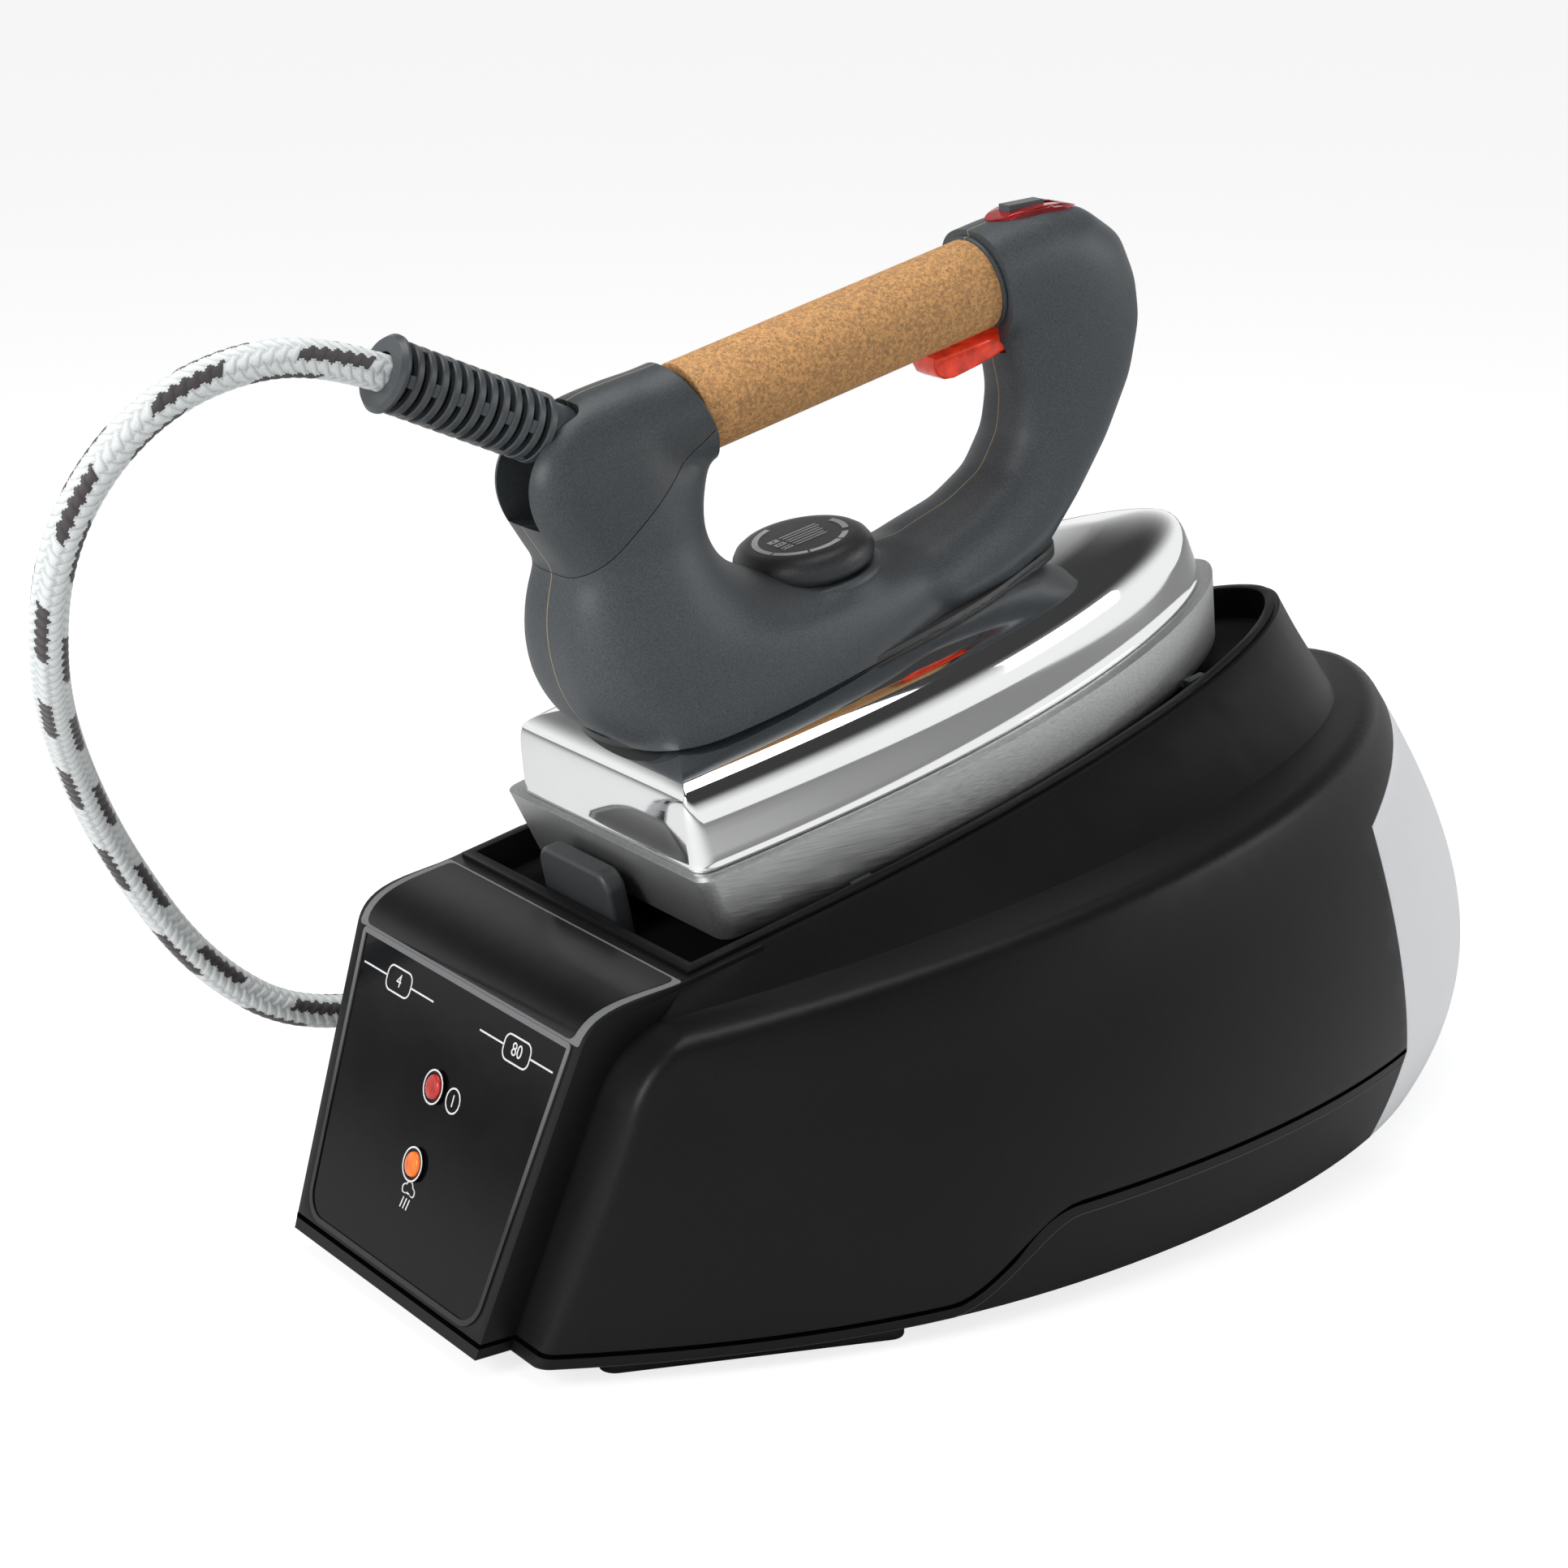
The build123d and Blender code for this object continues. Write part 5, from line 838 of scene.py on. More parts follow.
@dataclass
class StrainRelief:
    """Rubber sleeve of paired rings, bridged in turn at the sides and at top and bottom."""

    length: float = 67.0
    ring_radius: float = 9.8
    wall: float = 2.2
    ring_start: float = 16.4
    flange: float = 3.4
    flange_radius: float = 10.7
    rings: int = 12
    ring_share: float = 0.56
    bridge_arcs: Flat = (0.95, 0.36)
    core_radius: float = 6.7
    root_radius: float = 9.2
    eye_radius: float = 8.0
    eye_half: float = 7.7

    def build(self) -> None:
        """Makes the sleeve with its eye, and a dark core inside it as painted shade for the hollow."""
        last = self.length - self.flange
        pitch = (last - self.ring_start) / self.rings
        inner = self.ring_radius - self.wall
        parts = []
        for i in range(self.rings):
            low = self.ring_start + i * pitch
            parts.append(Bench.turned(self.band(inner, self.ring_radius, low,
                                                low + self.ring_share * pitch), 48, True))
            gap_low = low + self.ring_share * pitch - 0.2
            gap_high = low + pitch + 0.2
            first = 0.0 if i % 2 else math.pi / 2
            arc = self.bridge_arcs[i % 2]
            for side in (0.0, math.pi):
                bridge = Bench.turned(self.band(inner, self.ring_radius - 0.12, gap_low, gap_high), 8,
                                      True, arc)
                parts.append(Bench.moved(bridge, Matrix.Rotation(first + side - arc / 2, 4, "Z")))
        socket = self.core_radius - 1.2
        lip = [(socket, last), (self.flange_radius - 1.4, last), (self.flange_radius, last + 1.2),
               (self.flange_radius, self.length - 1.4), (self.flange_radius - 1.2, self.length),
               (socket, self.length)]
        parts.append(Bench.turned(lip, 48, True))
        root = [(0.0, -2.0), (self.root_radius - 1.4, -2.0), (self.root_radius, 3.0),
                (self.root_radius - 0.6, 9.0), (inner + 0.6, self.ring_start - 1.2),
                (inner, self.ring_start), (0.0, self.ring_start)]
        parts.append(Bench.turned(root, 48, False))
        eye = Bench.turned([(0.0, -self.eye_half), (self.eye_radius, -self.eye_half),
                            (self.eye_radius, self.eye_half), (0.0, self.eye_half)], 40, False)
        parts.append(Bench.moved(eye, Matrix.Rotation(math.pi / 2, 4, "Y")))
        sleeve = Bench.moved(Bench.joined(parts), RELIEF)
        Bench.fit("strain_relief_sleeve", sleeve, Finishes.RELIEF, Body.SWIVEL, "relief_rubber",
                  ["strain_relief"])
        # painted shade: a dark core inside the rings, seen through their gaps in place of the shaded hollow
        core = Bench.turned([(self.core_radius - 1.1, self.ring_start - 1),
                             (self.core_radius, self.ring_start - 1),
                             (self.core_radius, last + 1), (self.core_radius - 1.1, last + 1)], 32, True)
        Bench.fit("strain_relief_shade_core", Bench.moved(core, RELIEF), Finishes.SHADE_CORE, Body.SWIVEL,
                  "relief_rubber")

    def band(self, inner: float, outer: float, low: float, high: float) -> list[Flat]:
        """Section of one ring with eased outer corners."""
        ease = 0.35
        return [(inner, low), (outer - ease, low), (outer, low + ease), (outer, high - ease),
                (outer - ease, high), (inner, high)]


@dataclass(frozen=True)
class Boat:
    """Plan outline with a straight heel, eased heel corners, one widest station and a rounded tip."""

    heel: float
    heel_half: float
    widest: float
    half: float
    tip: float
    sharpness: float
    corner: float

    def inset(self, side: float, heel: float, tip: float) -> "Boat":
        """The outline drawn in at its sides, heel and tip."""
        return Boat(self.heel + heel, self.heel_half - side, self.widest, self.half - side, self.tip - tip,
                    self.sharpness, max(0.4, self.corner - side))

    def half_width(self, x: float) -> float:
        """Half width at a station."""
        if x < self.widest:
            share = (self.widest - x) / (self.widest - self.heel)
            return self.half - (self.half - self.heel_half) * share ** 2
        share = min(1.0, (x - self.widest) / (self.tip - self.widest))
        return self.half * (1 - share ** 2) ** self.sharpness

    def ring(self, height: float) -> list[Vector]:
        """Points round the outline at a height, from the middle of the heel."""
        heel_run, turn_run, fore_run, tip_run = 4, 7, 10, 34
        start = self.heel + self.corner
        top = self.half_width(start) - self.corner
        half = [(self.heel, top * i / heel_run) for i in range(heel_run)]
        for i in range(turn_run):
            a = math.pi / 2 * i / turn_run
            half.append((start - self.corner * math.cos(a), top + self.corner * math.sin(a)))
        half += [(start + (self.widest - start) * i / fore_run, 0.0) for i in range(fore_run)]
        half += [(self.widest + (self.tip - self.widest) * math.sin(math.pi / 2 * i / tip_run), 0.0)
                 for i in range(tip_run)]
        placed = [(x, y if i < heel_run + turn_run else self.half_width(x)) for i, (x, y) in enumerate(half)]
        loop = placed + [(self.tip, 0.0)] + [(x, -y) for x, y in reversed(placed[1:])]
        return [Vector((x, y, height)) for x, y in loop]


@dataclass
class Stage:
    """Camera, floor, lamps and backdrop."""

    camera_at: Triple = (-426.49, -805.99, 439.64)
    azimuth: float = -34.88
    elevation: float = 17.54
    lens: float = 82.07
    sensor: float = 36.0
    floor_half: float = 6.0
    floor_tone: float = 0.86
    floor_seen: float = 0.36
    floor_white: float = 0.80
    world_light: float = 0.30
    ceiling_span: Flat = (0.15, 0.70)
    ceiling_tone: float = 0.05

    def build(self) -> None:
        """Sets up the stage."""
        self.camera()
        self.floor()
        self.world()
        self.lamps()

    def camera(self) -> None:
        """Camera at the viewing angle of the photograph."""
        data = bpy.data.cameras.new("camera")
        data.lens = self.lens
        data.sensor_width = self.sensor
        data.clip_start = 0.05
        data.clip_end = 60.0
        camera = bpy.data.objects.new("camera", data)
        turn = math.radians(self.azimuth)
        drop = math.radians(self.elevation)
        ahead = Vector((-math.sin(turn) * math.cos(drop), math.cos(turn) * math.cos(drop), -math.sin(drop)))
        camera.location = GROUND.point(*self.camera_at)
        camera.rotation_mode = "QUATERNION"
        camera.rotation_quaternion = ahead.to_track_quat("-Z", "Y")
        bpy.context.scene.collection.objects.link(camera)
        bpy.context.scene.camera = camera
        bpy.context.scene.view_settings.view_transform = "Standard"

    def floor(self) -> None:
        """Pale floor under the feet."""
        bm = bmesh.new()
        bmesh.ops.create_grid(bm, x_segments=2, y_segments=2, size=self.floor_half)
        mesh = bpy.data.meshes.new("floor")
        bm.to_mesh(mesh)
        bm.free()
        graph = Graph("floor_pale")
        cloud = graph.noise(graph.spots(), 3.0)
        tones = [(0.3, grey(self.floor_tone - 0.01)), (0.7, grey(self.floor_tone + 0.01))]
        seen = graph.node("LightPath", {}).outputs["Is Camera Ray"]
        graph.shade(Base_Color=graph.mix(seen, graph.ramp(cloud, tones), grey(self.floor_seen)),
                    Roughness=0.9)
        graph.shade(Emission_Color=grey(1.0), Emission_Strength=graph.span(seen, 0.0, self.floor_white))
        graph.shade(Specular_IOR_Level=0.1)
        mesh.materials.append(graph.material)
        floor = bpy.data.objects.new("floor", mesh)
        bpy.context.scene.collection.objects.link(floor)

    def world(self) -> None:
        """White surround, dimmer as a light than as a backdrop, under a dark ceiling that gloss shows."""
        world = bpy.data.worlds.new("surround")
        world.use_nodes = True
        bpy.context.scene.world = world
        tree = world.node_tree
        back = tree.nodes["Background"]
        back.inputs["Color"].default_value = grey(1.0)
        path = tree.nodes.new("ShaderNodeLightPath")
        seen = path.outputs["Is Camera Ray"]
        for ray in ("Is Glossy Ray", "Is Transmission Ray"):
            most = tree.nodes.new("ShaderNodeMath")
            most.operation = "MAXIMUM"
            tree.links.new(seen, most.inputs[0])
            tree.links.new(path.outputs[ray], most.inputs[1])
            seen = most.outputs["Value"]
        level = tree.nodes.new("ShaderNodeMapRange")
        level.inputs["To Min"].default_value = self.world_light
        level.inputs["To Max"].default_value = 1.0
        tree.links.new(seen, level.inputs["Value"])
        way = tree.nodes.new("ShaderNodeSeparateXYZ")
        tree.links.new(tree.nodes.new("ShaderNodeTexCoord").outputs["Generated"], way.inputs["Vector"])
        ceiling = tree.nodes.new("ShaderNodeMapRange")
        ceiling.interpolation_type = "SMOOTHSTEP"
        ceiling.inputs["From Min"].default_value = self.ceiling_span[0]
        ceiling.inputs["From Max"].default_value = self.ceiling_span[1]
        ceiling.inputs["To Min"].default_value = 1.0
        ceiling.inputs["To Max"].default_value = self.ceiling_tone
        tree.links.new(way.outputs["Z"], ceiling.inputs["Value"])
        shown = tree.nodes.new("ShaderNodeMix")
        shown.inputs["A"].default_value = 1.0
        tree.links.new(path.outputs["Is Glossy Ray"], shown.inputs["Factor"])
        tree.links.new(ceiling.outputs["Result"], shown.inputs["B"])
        strength = tree.nodes.new("ShaderNodeMath")
        strength.operation = "MULTIPLY"
        tree.links.new(level.outputs["Result"], strength.inputs[0])
        tree.links.new(shown.outputs["Result"], strength.inputs[1])
        tree.links.new(strength.outputs["Value"], back.inputs["Strength"])

    def lamps(self) -> None:
        """Soft lamps over, before and beside the station."""
        for name, place, size, power in (
            ("over", (150.0, 150.0, 1400.0), 0.8, 9.0),
            ("front_left", (-1000.0, -100.0, 700.0), 0.5, 9.5),
            ("right", (1200.0, -700.0, 600.0), 0.5, 3.5),
        ):
            data = bpy.data.lights.new(name, "AREA")
            data.size = size
            data.energy = power
            lamp = bpy.data.objects.new(name, data)
            lamp.location = GROUND.point(*place)
            aim = GROUND.point(200.0, 0.0, 120.0) - lamp.location
            lamp.rotation_mode = "QUATERNION"
            lamp.rotation_quaternion = aim.to_track_quat("-Z", "Y")
            bpy.context.scene.collection.objects.link(lamp)


@dataclass
class IronSole:
    """Polished skirt over the brushed soleplate, with the plates that show round it."""

    foot: Boat = Boat(2.5, 47.5, 62.0, 50.5, 221.5, 0.62, 6.0)
    profile: tuple[Flat, ...] = (
        (1.2, 20.1), (0.9, 20.0), (0.25, 20.15), (0.0, 20.5), (0.0, 21.0), (0.2, 21.5), (0.4, 22.4),
        (0.7, 24.5), (1.05, 27.0), (1.4, 29.5), (1.75, 32.0), (2.15, 34.5), (2.65, 36.6), (3.3, 38.5),
        (4.15, 40.0), (5.3, 41.3),
        (6.7, 42.35), (8.2, 43.2), (9.8, 43.9), (11.6, 44.5), (14.0, 45.1), (17.0, 45.8), (20.0, 46.4),
        (23.0, 47.0),
    )
    inner_top: Flat = (14.0, 42.0)
    heel_share: float = 0.62
    tip_share: float = 1.6

    def build(self) -> None:
        """Makes the skirt and dresses the soleplate."""
        rings = [self.lean(inset).ring(height) for inset, height in (self.inner_top,) + self.profile]
        skirt = Bench.moved(Bench.lofted(rings), IRON)
        Bench.fit("skirt_shell", skirt, Finishes.CHROME, Body.IRON, "chrome", ["chrome_skirt"], 60.0)
        Bench.paint("soleplate", Finishes.SOLE, 0.7, 3)
        Bench.paint("heat_insulator", Finishes.FITTING, 0.3)

    def lean(self, inset: float) -> Boat:
        """Outline of the skirt drawn in by an inset, less at the heel and more at the tip."""
        return self.foot.inset(inset, inset * self.heel_share, inset * self.tip_share)


@dataclass
class HandleBody:
    """Two-shell handle and rear cap, swept from rounded sections and parted along the cap's seam."""

    voxel: float = 1.1
    passes: int = 44
    foot: float = 47.4
    section_count: int = 44
    section_power: float = 2.45
    body_levels: tuple[tuple[float, Boat], ...] = (
        (38.0, Boat(17.0, 27.0, 38.0, 30.0, 165.0, 1.05, 20.0)),
        (47.4, Boat(8.2, 29.0, 36.0, 32.4, 165.0, 1.05, 20.5)),
        (50.5, Boat(5.2, 29.4, 35.0, 32.5, 163.5, 1.06, 21.5)),
        (54.4, Boat(2.4, 29.4, 34.0, 32.2, 165.5, 1.02, 22.0)),
        (60.0, Boat(-0.4, 29.0, 32.0, 31.2, 166.0, 1.02, 22.0)),
        (66.0, Boat(-2.1, 28.2, 30.0, 30.2, 152.0, 1.08, 21.0)),
        (70.0, Boat(-2.6, 27.6, 28.0, 29.4, 110.0, 1.12, 20.5)),
        (73.5, Boat(-2.8, 27.0, 27.0, 28.6, 80.0, 0.80, 20.0)),
        (78.0, Boat(-2.9, 26.0, 26.0, 27.4, 63.5, 0.60, 19.5)),
        (83.0, Boat(-2.3, 24.6, 25.0, 25.7, 56.5, 0.52, 18.5)),
        (88.0, Boat(-1.2, 22.8, 25.0, 23.9, 52.4, 0.50, 17.0)),
        (93.0, Boat(0.7, 21.2, 25.0, 22.2, 50.6, 0.50, 15.5)),
        (98.0, Boat(3.1, 19.8, 25.0, 20.6, 50.2, 0.50, 14.5)),
        (104.0, Boat(4.0, 18.6, 26.0, 19.4, 51.6, 0.50, 13.5)),
        (110.0, Boat(5.0, 17.6, 27.0, 18.2, 54.4, 0.50, 13.0)),
        (116.0, Boat(8.0, 16.6, 28.0, 17.2, 58.0, 0.50, 12.0)),
    )
    cap_levels: tuple[tuple[float, Boat], ...] = (
        (98.6, Boat(4.2, 19.4, 25.0, 20.4, 48.0, 0.50, 14.0)),
        (103.0, Boat(1.8, 19.2, 25.0, 20.2, 50.0, 0.50, 14.0)),
        (110.0, Boat(-1.2, 18.6, 25.0, 19.4, 50.0, 0.50, 14.0)),
        (116.0, Boat(-3.6, 17.8, 25.0, 18.6, 50.0, 0.50, 13.0)),
        (122.0, Boat(-4.4, 17.2, 25.0, 17.8, 50.0, 0.50, 12.0)),
        (128.0, Boat(-3.4, 16.2, 26.0, 16.6, 52.0, 0.50, 11.0)),
        (133.0, Boat(-0.6, 14.6, 28.0, 15.2, 52.0, 0.50, 10.0)),
        (137.0, Boat(3.8, 12.4, 30.0, 13.0, 50.0, 0.50, 8.5)),
        (140.2, Boat(9.4, 9.8, 32.0, 10.4, 48.0, 0.50, 7.0)),
        (142.4, Boat(15.0, 6.8, 32.0, 7.2, 46.0, 0.50, 5.0)),
        (143.9, Boat(22.0, 3.0, 32.0, 3.4, 43.0, 0.50, 2.2)),
    )
    front_sections: tuple[tuple[Flat, Flat, float], ...] = (
        ((104.0, 66.0), (124.0, 44.0), 22.0),
        ((120.0, 70.2), (143.0, 44.0), 19.5),
        ((135.0, 72.6), (161.0, 49.0), 17.8),
        ((148.0, 77.6), (176.0, 62.0), 17.3),
        ((156.2, 87.0), (189.6, 75.6), 17.3),
        ((159.2, 97.5), (202.4, 91.8), 17.3),
        ((158.8, 106.0), (209.2, 107.0), 17.2),
        ((158.2, 112.0), (210.0, 119.4), 17.0),
        ((157.4, 114.6), (206.8, 132.8), 16.6),
        ((154.8, 115.2), (196.4, 143.2), 16.2),
        ((154.2, 115.4), (181.4, 147.6), 15.9),
        ((152.6, 115.4), (166.0, 147.9), 15.8),
        ((148.0, 115.6), (148.8, 147.2), 15.8),
    )
    grip_start: Flat = (20.0, 127.4)
    grip_end: Flat = (72.0, 129.0)
    grip_radius: float = 15.7
    boss_profile: tuple[Flat, ...] = ((0.0, -17.0), (21.5, -17.0), (24.5, -9.0), (22.6, -3.6), (22.0, -0.8),
                                      (0.0, -0.8))
    front_cut: tuple[Flat, ...] = ((130.0, 111.0), (157.9, 114.2), (157.1, 147.0), (157.0, 156.0),
                                   (130.0, 156.0))
    rear_cut: tuple[Flat, ...] = ((45.2, 152.0), (57.6, 111.0), (90.0, 111.0), (90.0, 152.0))
    trigger_slot: tuple[Flat, ...] = ((140.0, 108.4), (152.0, 109.3), (160.0, 110.7), (165.0, 112.2),
                                      (165.0, 120.0), (140.0, 120.0))
    trigger_half: float = 6.2
    slot: tuple[Flat, ...] = ((18.6, 107.0), (-40.0, 127.0), (-10.0, 190.0), (18.6, 142.4))
    slot_half: float = 8.4
    slot_corner: float = 3.8
    seam_gap: float = 0.14
    seam_rear: Flat = (3.5, 99.0)
    seam_front: Flat = (53.3, 125.2)

    def build(self) -> None:
        """Makes the shells and the cap."""
        forms = [
            Bench.lofted([outline.ring(w) for w, outline in self.body_levels]),
            Bench.lofted([outline.ring(w) for w, outline in self.cap_levels]),
            Bench.lofted([self.section(*section) for section in self.front_sections]),
            self.grip_root(),
            Bench.moved(Bench.turned(self.boss_profile, 48, False), Matrix.Translation((83.0, 0.0, 71.0))),
        ]
        whole = Bench.worked(Bench.moved(Bench.joined(forms), IRON), [
            ("REMESH", {"mode": "VOXEL", "voxel_size": self.voxel * MM}),
            ("SMOOTH", {"factor": 0.5, "iterations": self.passes}),
        ])
        cutters = [Bench.prism(self.front_cut, 30.0), Bench.prism(self.rear_cut, 30.0),
                   Bench.prism(self.trigger_slot, self.trigger_half), self.slot_cutter()]
        whole = Bench.cut(whole, [Bench.moved(cutter, IRON) for cutter in cutters])
        self.part(whole, IRON.point(0, 0, self.foot), IRON.matrix.to_3x3() @ Vector((0, 0, -1)))
        run = Vector((self.seam_front[0] - self.seam_rear[0], 0.0, self.seam_front[1] - self.seam_rear[1]))
        up = (IRON.matrix.to_3x3() @ Vector((-run.z, 0.0, run.x))).normalized()
        seam = IRON.point(self.seam_rear[0], 0.0, self.seam_rear[1])
        cap = whole.copy()
        self.part(whole, seam - up * self.seam_gap * MM, up)
        self.part(cap, seam + up * self.seam_gap * MM, -up)
        Bench.fit("handle_shells", whole, Finishes.SLATE, Body.IRON, "handle_slate",
                  ["handle_left_shell", "handle_right_shell"], 48.0)
        Bench.fit("handle_cap", cap, Finishes.CAP, Body.IRON, "handle_slate", ["handle_rear_cap"], 48.0)

    def section(self, inner: Flat, outer: Flat, half: float) -> list[Vector]:
        """Points round a full oval section across the handle.

        Args:
            inner: Its point at the window, on the middle plane.
            outer: Its point on the outside, on the middle plane.
            half: Its half width.

        Returns:
            Points of the section.
        """
        points = []
        for i in range(self.section_count):
            a = 2 * math.pi * i / self.section_count
            along = math.copysign(abs(math.cos(a)) ** (2 / self.section_power), math.cos(a)) / 2 + 0.5
            across = math.copysign(abs(math.sin(a)) ** (2 / self.section_power), math.sin(a))
            points.append(Vector((inner[0] + (outer[0] - inner[0]) * along, half * across,
                                  inner[1] + (outer[1] - inner[1]) * along)))
        return points

    def grip_root(self) -> bmesh.types.BMesh:
        """Round run of the cap that the cork starts from."""
        (start_u, start_w), (end_u, end_w) = self.grip_start, self.grip_end
        length = math.hypot(end_u - start_u, end_w - start_w)
        rod = Bench.turned([(0.0, 0.0), (self.grip_radius, 0.0), (self.grip_radius, length),
                            (0.0, length)], 48, False)
        run = (end_u - start_u, 0.0, end_w - start_w)
        return Bench.moved(rod, Place.turn((start_u, 0.0, start_w), (0, 1, 0), run))

    def slot_cutter(self) -> bmesh.types.BMesh:
        """Slot that the strain relief swings in, round at its inner corners."""
        bm = Bench.prism(self.slot, self.slot_half)
        inner = max(u for u, _ in self.slot) - 0.1
        ends = [e for e in bm.edges
                if all(v.co.x > inner for v in e.verts) and e.verts[0].co.y == e.verts[1].co.y]
        bmesh.ops.bevel(bm, geom=ends, offset=self.slot_corner, segments=5, profile=0.5, affect="EDGES",
                        material=-1)
        return bm

    def part(self, bm: bmesh.types.BMesh, spot: Vector, outward: Vector) -> None:
        """Cuts a mesh at a plane, drops what lies outward and closes the cut.

        Args:
            bm: Mesh to cut.
            spot: Point of the plane.
            outward: Direction of what is dropped.
        """
        cut = bmesh.ops.bisect_plane(bm, geom=list(bm.verts) + list(bm.edges) + list(bm.faces), dist=1e-7,
                                     plane_co=spot, plane_no=outward, clear_outer=True)["geom_cut"]
        rim = [g for g in cut if isinstance(g, bmesh.types.BMEdge)]
        bmesh.ops.holes_fill(bm, edges=rim)
        bmesh.ops.recalc_face_normals(bm, faces=bm.faces)


@dataclass
class GripAndControls:
    """Cork grip with its collars, the trigger, the steam lock and the temperature dial."""

    dial_profile: tuple[Flat, ...] = (
        (0.0, 0.0), (18.4, 0.0), (19.4, 0.5), (20.2, 1.8), (20.5, 3.4), (20.1, 5.4), (19.0, 7.2), (17.2, 8.5),
        (15.4, 8.95), (14.0, 9.0), (0.0, 9.0),
    )
    collar_profile: tuple[Flat, ...] = (
        (12.0, -3.4), (21.8, -3.4), (21.8, -1.1), (21.2, -0.5), (19.4, -0.5), (19.2, -1.0), (12.0, -1.0),
    )
    ring_in: float = 12.2
    ring_out: float = 14.0
    scale_arcs: tuple[tuple[float, float], ...] = ((100.0, 196.0), (199.0, 244.0), (247.0, 292.0),
                                                   (296.0, 318.0), (330.0, 372.0))
    plate_size: Flat = (3.4, 2.2)
    rule_span: Flat = (-4.4, 8.4)
    rule_width: float = 0.3
    rule_lift: float = 0.8
    plate_x: float = -7.0
    row_pitch: float = 3.4
    dot_pitch: float = 1.1
    dot_radius: float = 0.42
    print_height: float = 0.12
    trigger_side: tuple[Flat, ...] = (
        (134.6, 117.0), (134.3, 114.0), (135.2, 111.4), (137.4, 109.7), (140.6, 109.1), (152.0, 110.0),
        (160.0, 111.4), (164.0, 113.0), (164.0, 117.0),
    )
    trigger_half: float = 6.0
    pin_sizes: tuple[tuple[Flat, float, float], ...] = (((167.0, 113.0), 1.4, 11.0),
                                                        ((21.0, 129.0), 2.4, 12.5))

    def build(self) -> None:
        """Makes the dial and dresses what the grip carries."""
        Bench.paint("cork_grip", Finishes.CORK, 0.5)
        Bench.paint("grip_collars", Finishes.SLATE, 0.4)
        self.trigger()
        self.pins()
        for node, name, finish, body, slot, sink in (
            ("lock_bezel", "lock_oval", Finishes.BEZEL, Body.IRON, "bezel_red", 0.8),
            ("lock_slider", "lock_thumb", Finishes.SLIDER, Body.LOCK, "dark_fittings", 0.6),
        ):
            down = Matrix.Translation(IRON.matrix.to_3x3() @ Vector((0.0, 0.0, -sink)))
            Bench.fit(name, Bench.moved(Bench.copied([node]), down), finish, body, slot, [node])
        puck = Bench.moved(Bench.turned(self.dial_profile, 72, False), DIAL)
        Bench.fit("dial_puck", puck, Finishes.DIAL, Body.DIAL, "dark_fittings", ["temperature_dial"], 55.0)
        collar = Bench.moved(Bench.turned(self.collar_profile, 72, True), DIAL)
        Bench.fit("dial_collar", collar, Finishes.SLATE, Body.IRON, "handle_slate", (), 50.0)
        self.dial_print()

    def trigger(self) -> None:
        """Makes the steam trigger, straight along its lower edge and round at its rear end."""
        bm = Bench.prism(self.trigger_side, self.trigger_half)
        rims = [e for e in bm.edges if abs(e.verts[0].co.y - e.verts[1].co.y) < 1e-6]
        bmesh.ops.bevel(bm, geom=rims, offset=1.3, segments=4, profile=0.5, affect="EDGES", material=-1)
        Bench.fit("trigger_lever", Bench.moved(bm, IRON), Finishes.TRIGGER, Body.TRIGGER, "trigger_orange",
                  ["steam_trigger"])

    def pins(self) -> None:
        """Makes the pins that the trigger and the strain relief turn on."""
        pins = []
        for (u, w), radius, half in self.pin_sizes:
            pin = Bench.turned([(0.0, -half), (radius, -half), (radius, half), (0.0, half)], 24, False)
            pins.append(Bench.moved(pin, Place.turn((u, 0.0, w), (1, 0, 0), (0, 1, 0))))
        Bench.fit("pivot_pins", Bench.moved(Bench.joined(pins), IRON), Finishes.STEEL, Body.IRON, "stainless",
                  ["iron_pins"])

    def dial_print(self) -> None:
        """Prints the scale ring with its dots on the dial."""
        top = self.dial_profile[-1][1]
        high = top + self.print_height
        low = top - 0.1
        parts = []
        for start, end in self.scale_arcs:
            sweep = math.radians(end - start)
            band = [(self.ring_in, low), (self.ring_out, low), (self.ring_out, high), (self.ring_in, high)]
            arc = Bench.turned(band, max(4, int(sweep * 12)), True, sweep)
            parts.append(Bench.moved(arc, Matrix.Rotation(math.radians(start), 4, "Z")))
        width, depth = self.plate_size
        for row in range(3):
            outline = [(-width / 2, -depth / 2), (width / 2, -depth / 2), (width / 2, depth / 2),
                       (-width / 2, depth / 2)]
            plate = Bench.raised(outline, (), self.print_height + 0.1)
            spot = Matrix.Translation((self.plate_x, self.row_pitch * (1 - row), low))
            parts.append(Bench.moved(plate, spot))
            for lift in (-self.rule_lift, self.rule_lift):
                (x0, x1), thin = self.rule_span, self.rule_width
                rule = [(x0, lift - thin), (x1 - row, lift - thin), (x1 - row, lift + thin),
                        (x0, lift + thin)]
                ink = Bench.raised(rule, (), self.print_height + 0.1)
                parts.append(Bench.moved(ink, Matrix.Translation((0.0, self.row_pitch * (1 - row), low))))
        Bench.fit("dial_scale", Bench.moved(Bench.joined(parts), DIAL), Finishes.SILVER_INK, Body.DIAL,
                  "silver_trim")
        dots = []
        for row in range(3):
            for column in range(row + 1):
                dot = Bench.turned([(0.0, high), (self.dot_radius, high), (self.dot_radius, high + 0.05),
                                    (0.0, high + 0.05)], 10, False)
                across = self.plate_x + (column - row / 2) * self.dot_pitch
                spot = Matrix.Translation((across, self.row_pitch * (1 - row), 0.0))
                dots.append(Bench.moved(dot, spot))
        Bench.fit("dial_dots", Bench.moved(Bench.joined(dots), DIAL), Finishes.DIAL, Body.DIAL,
                  "dark_fittings")


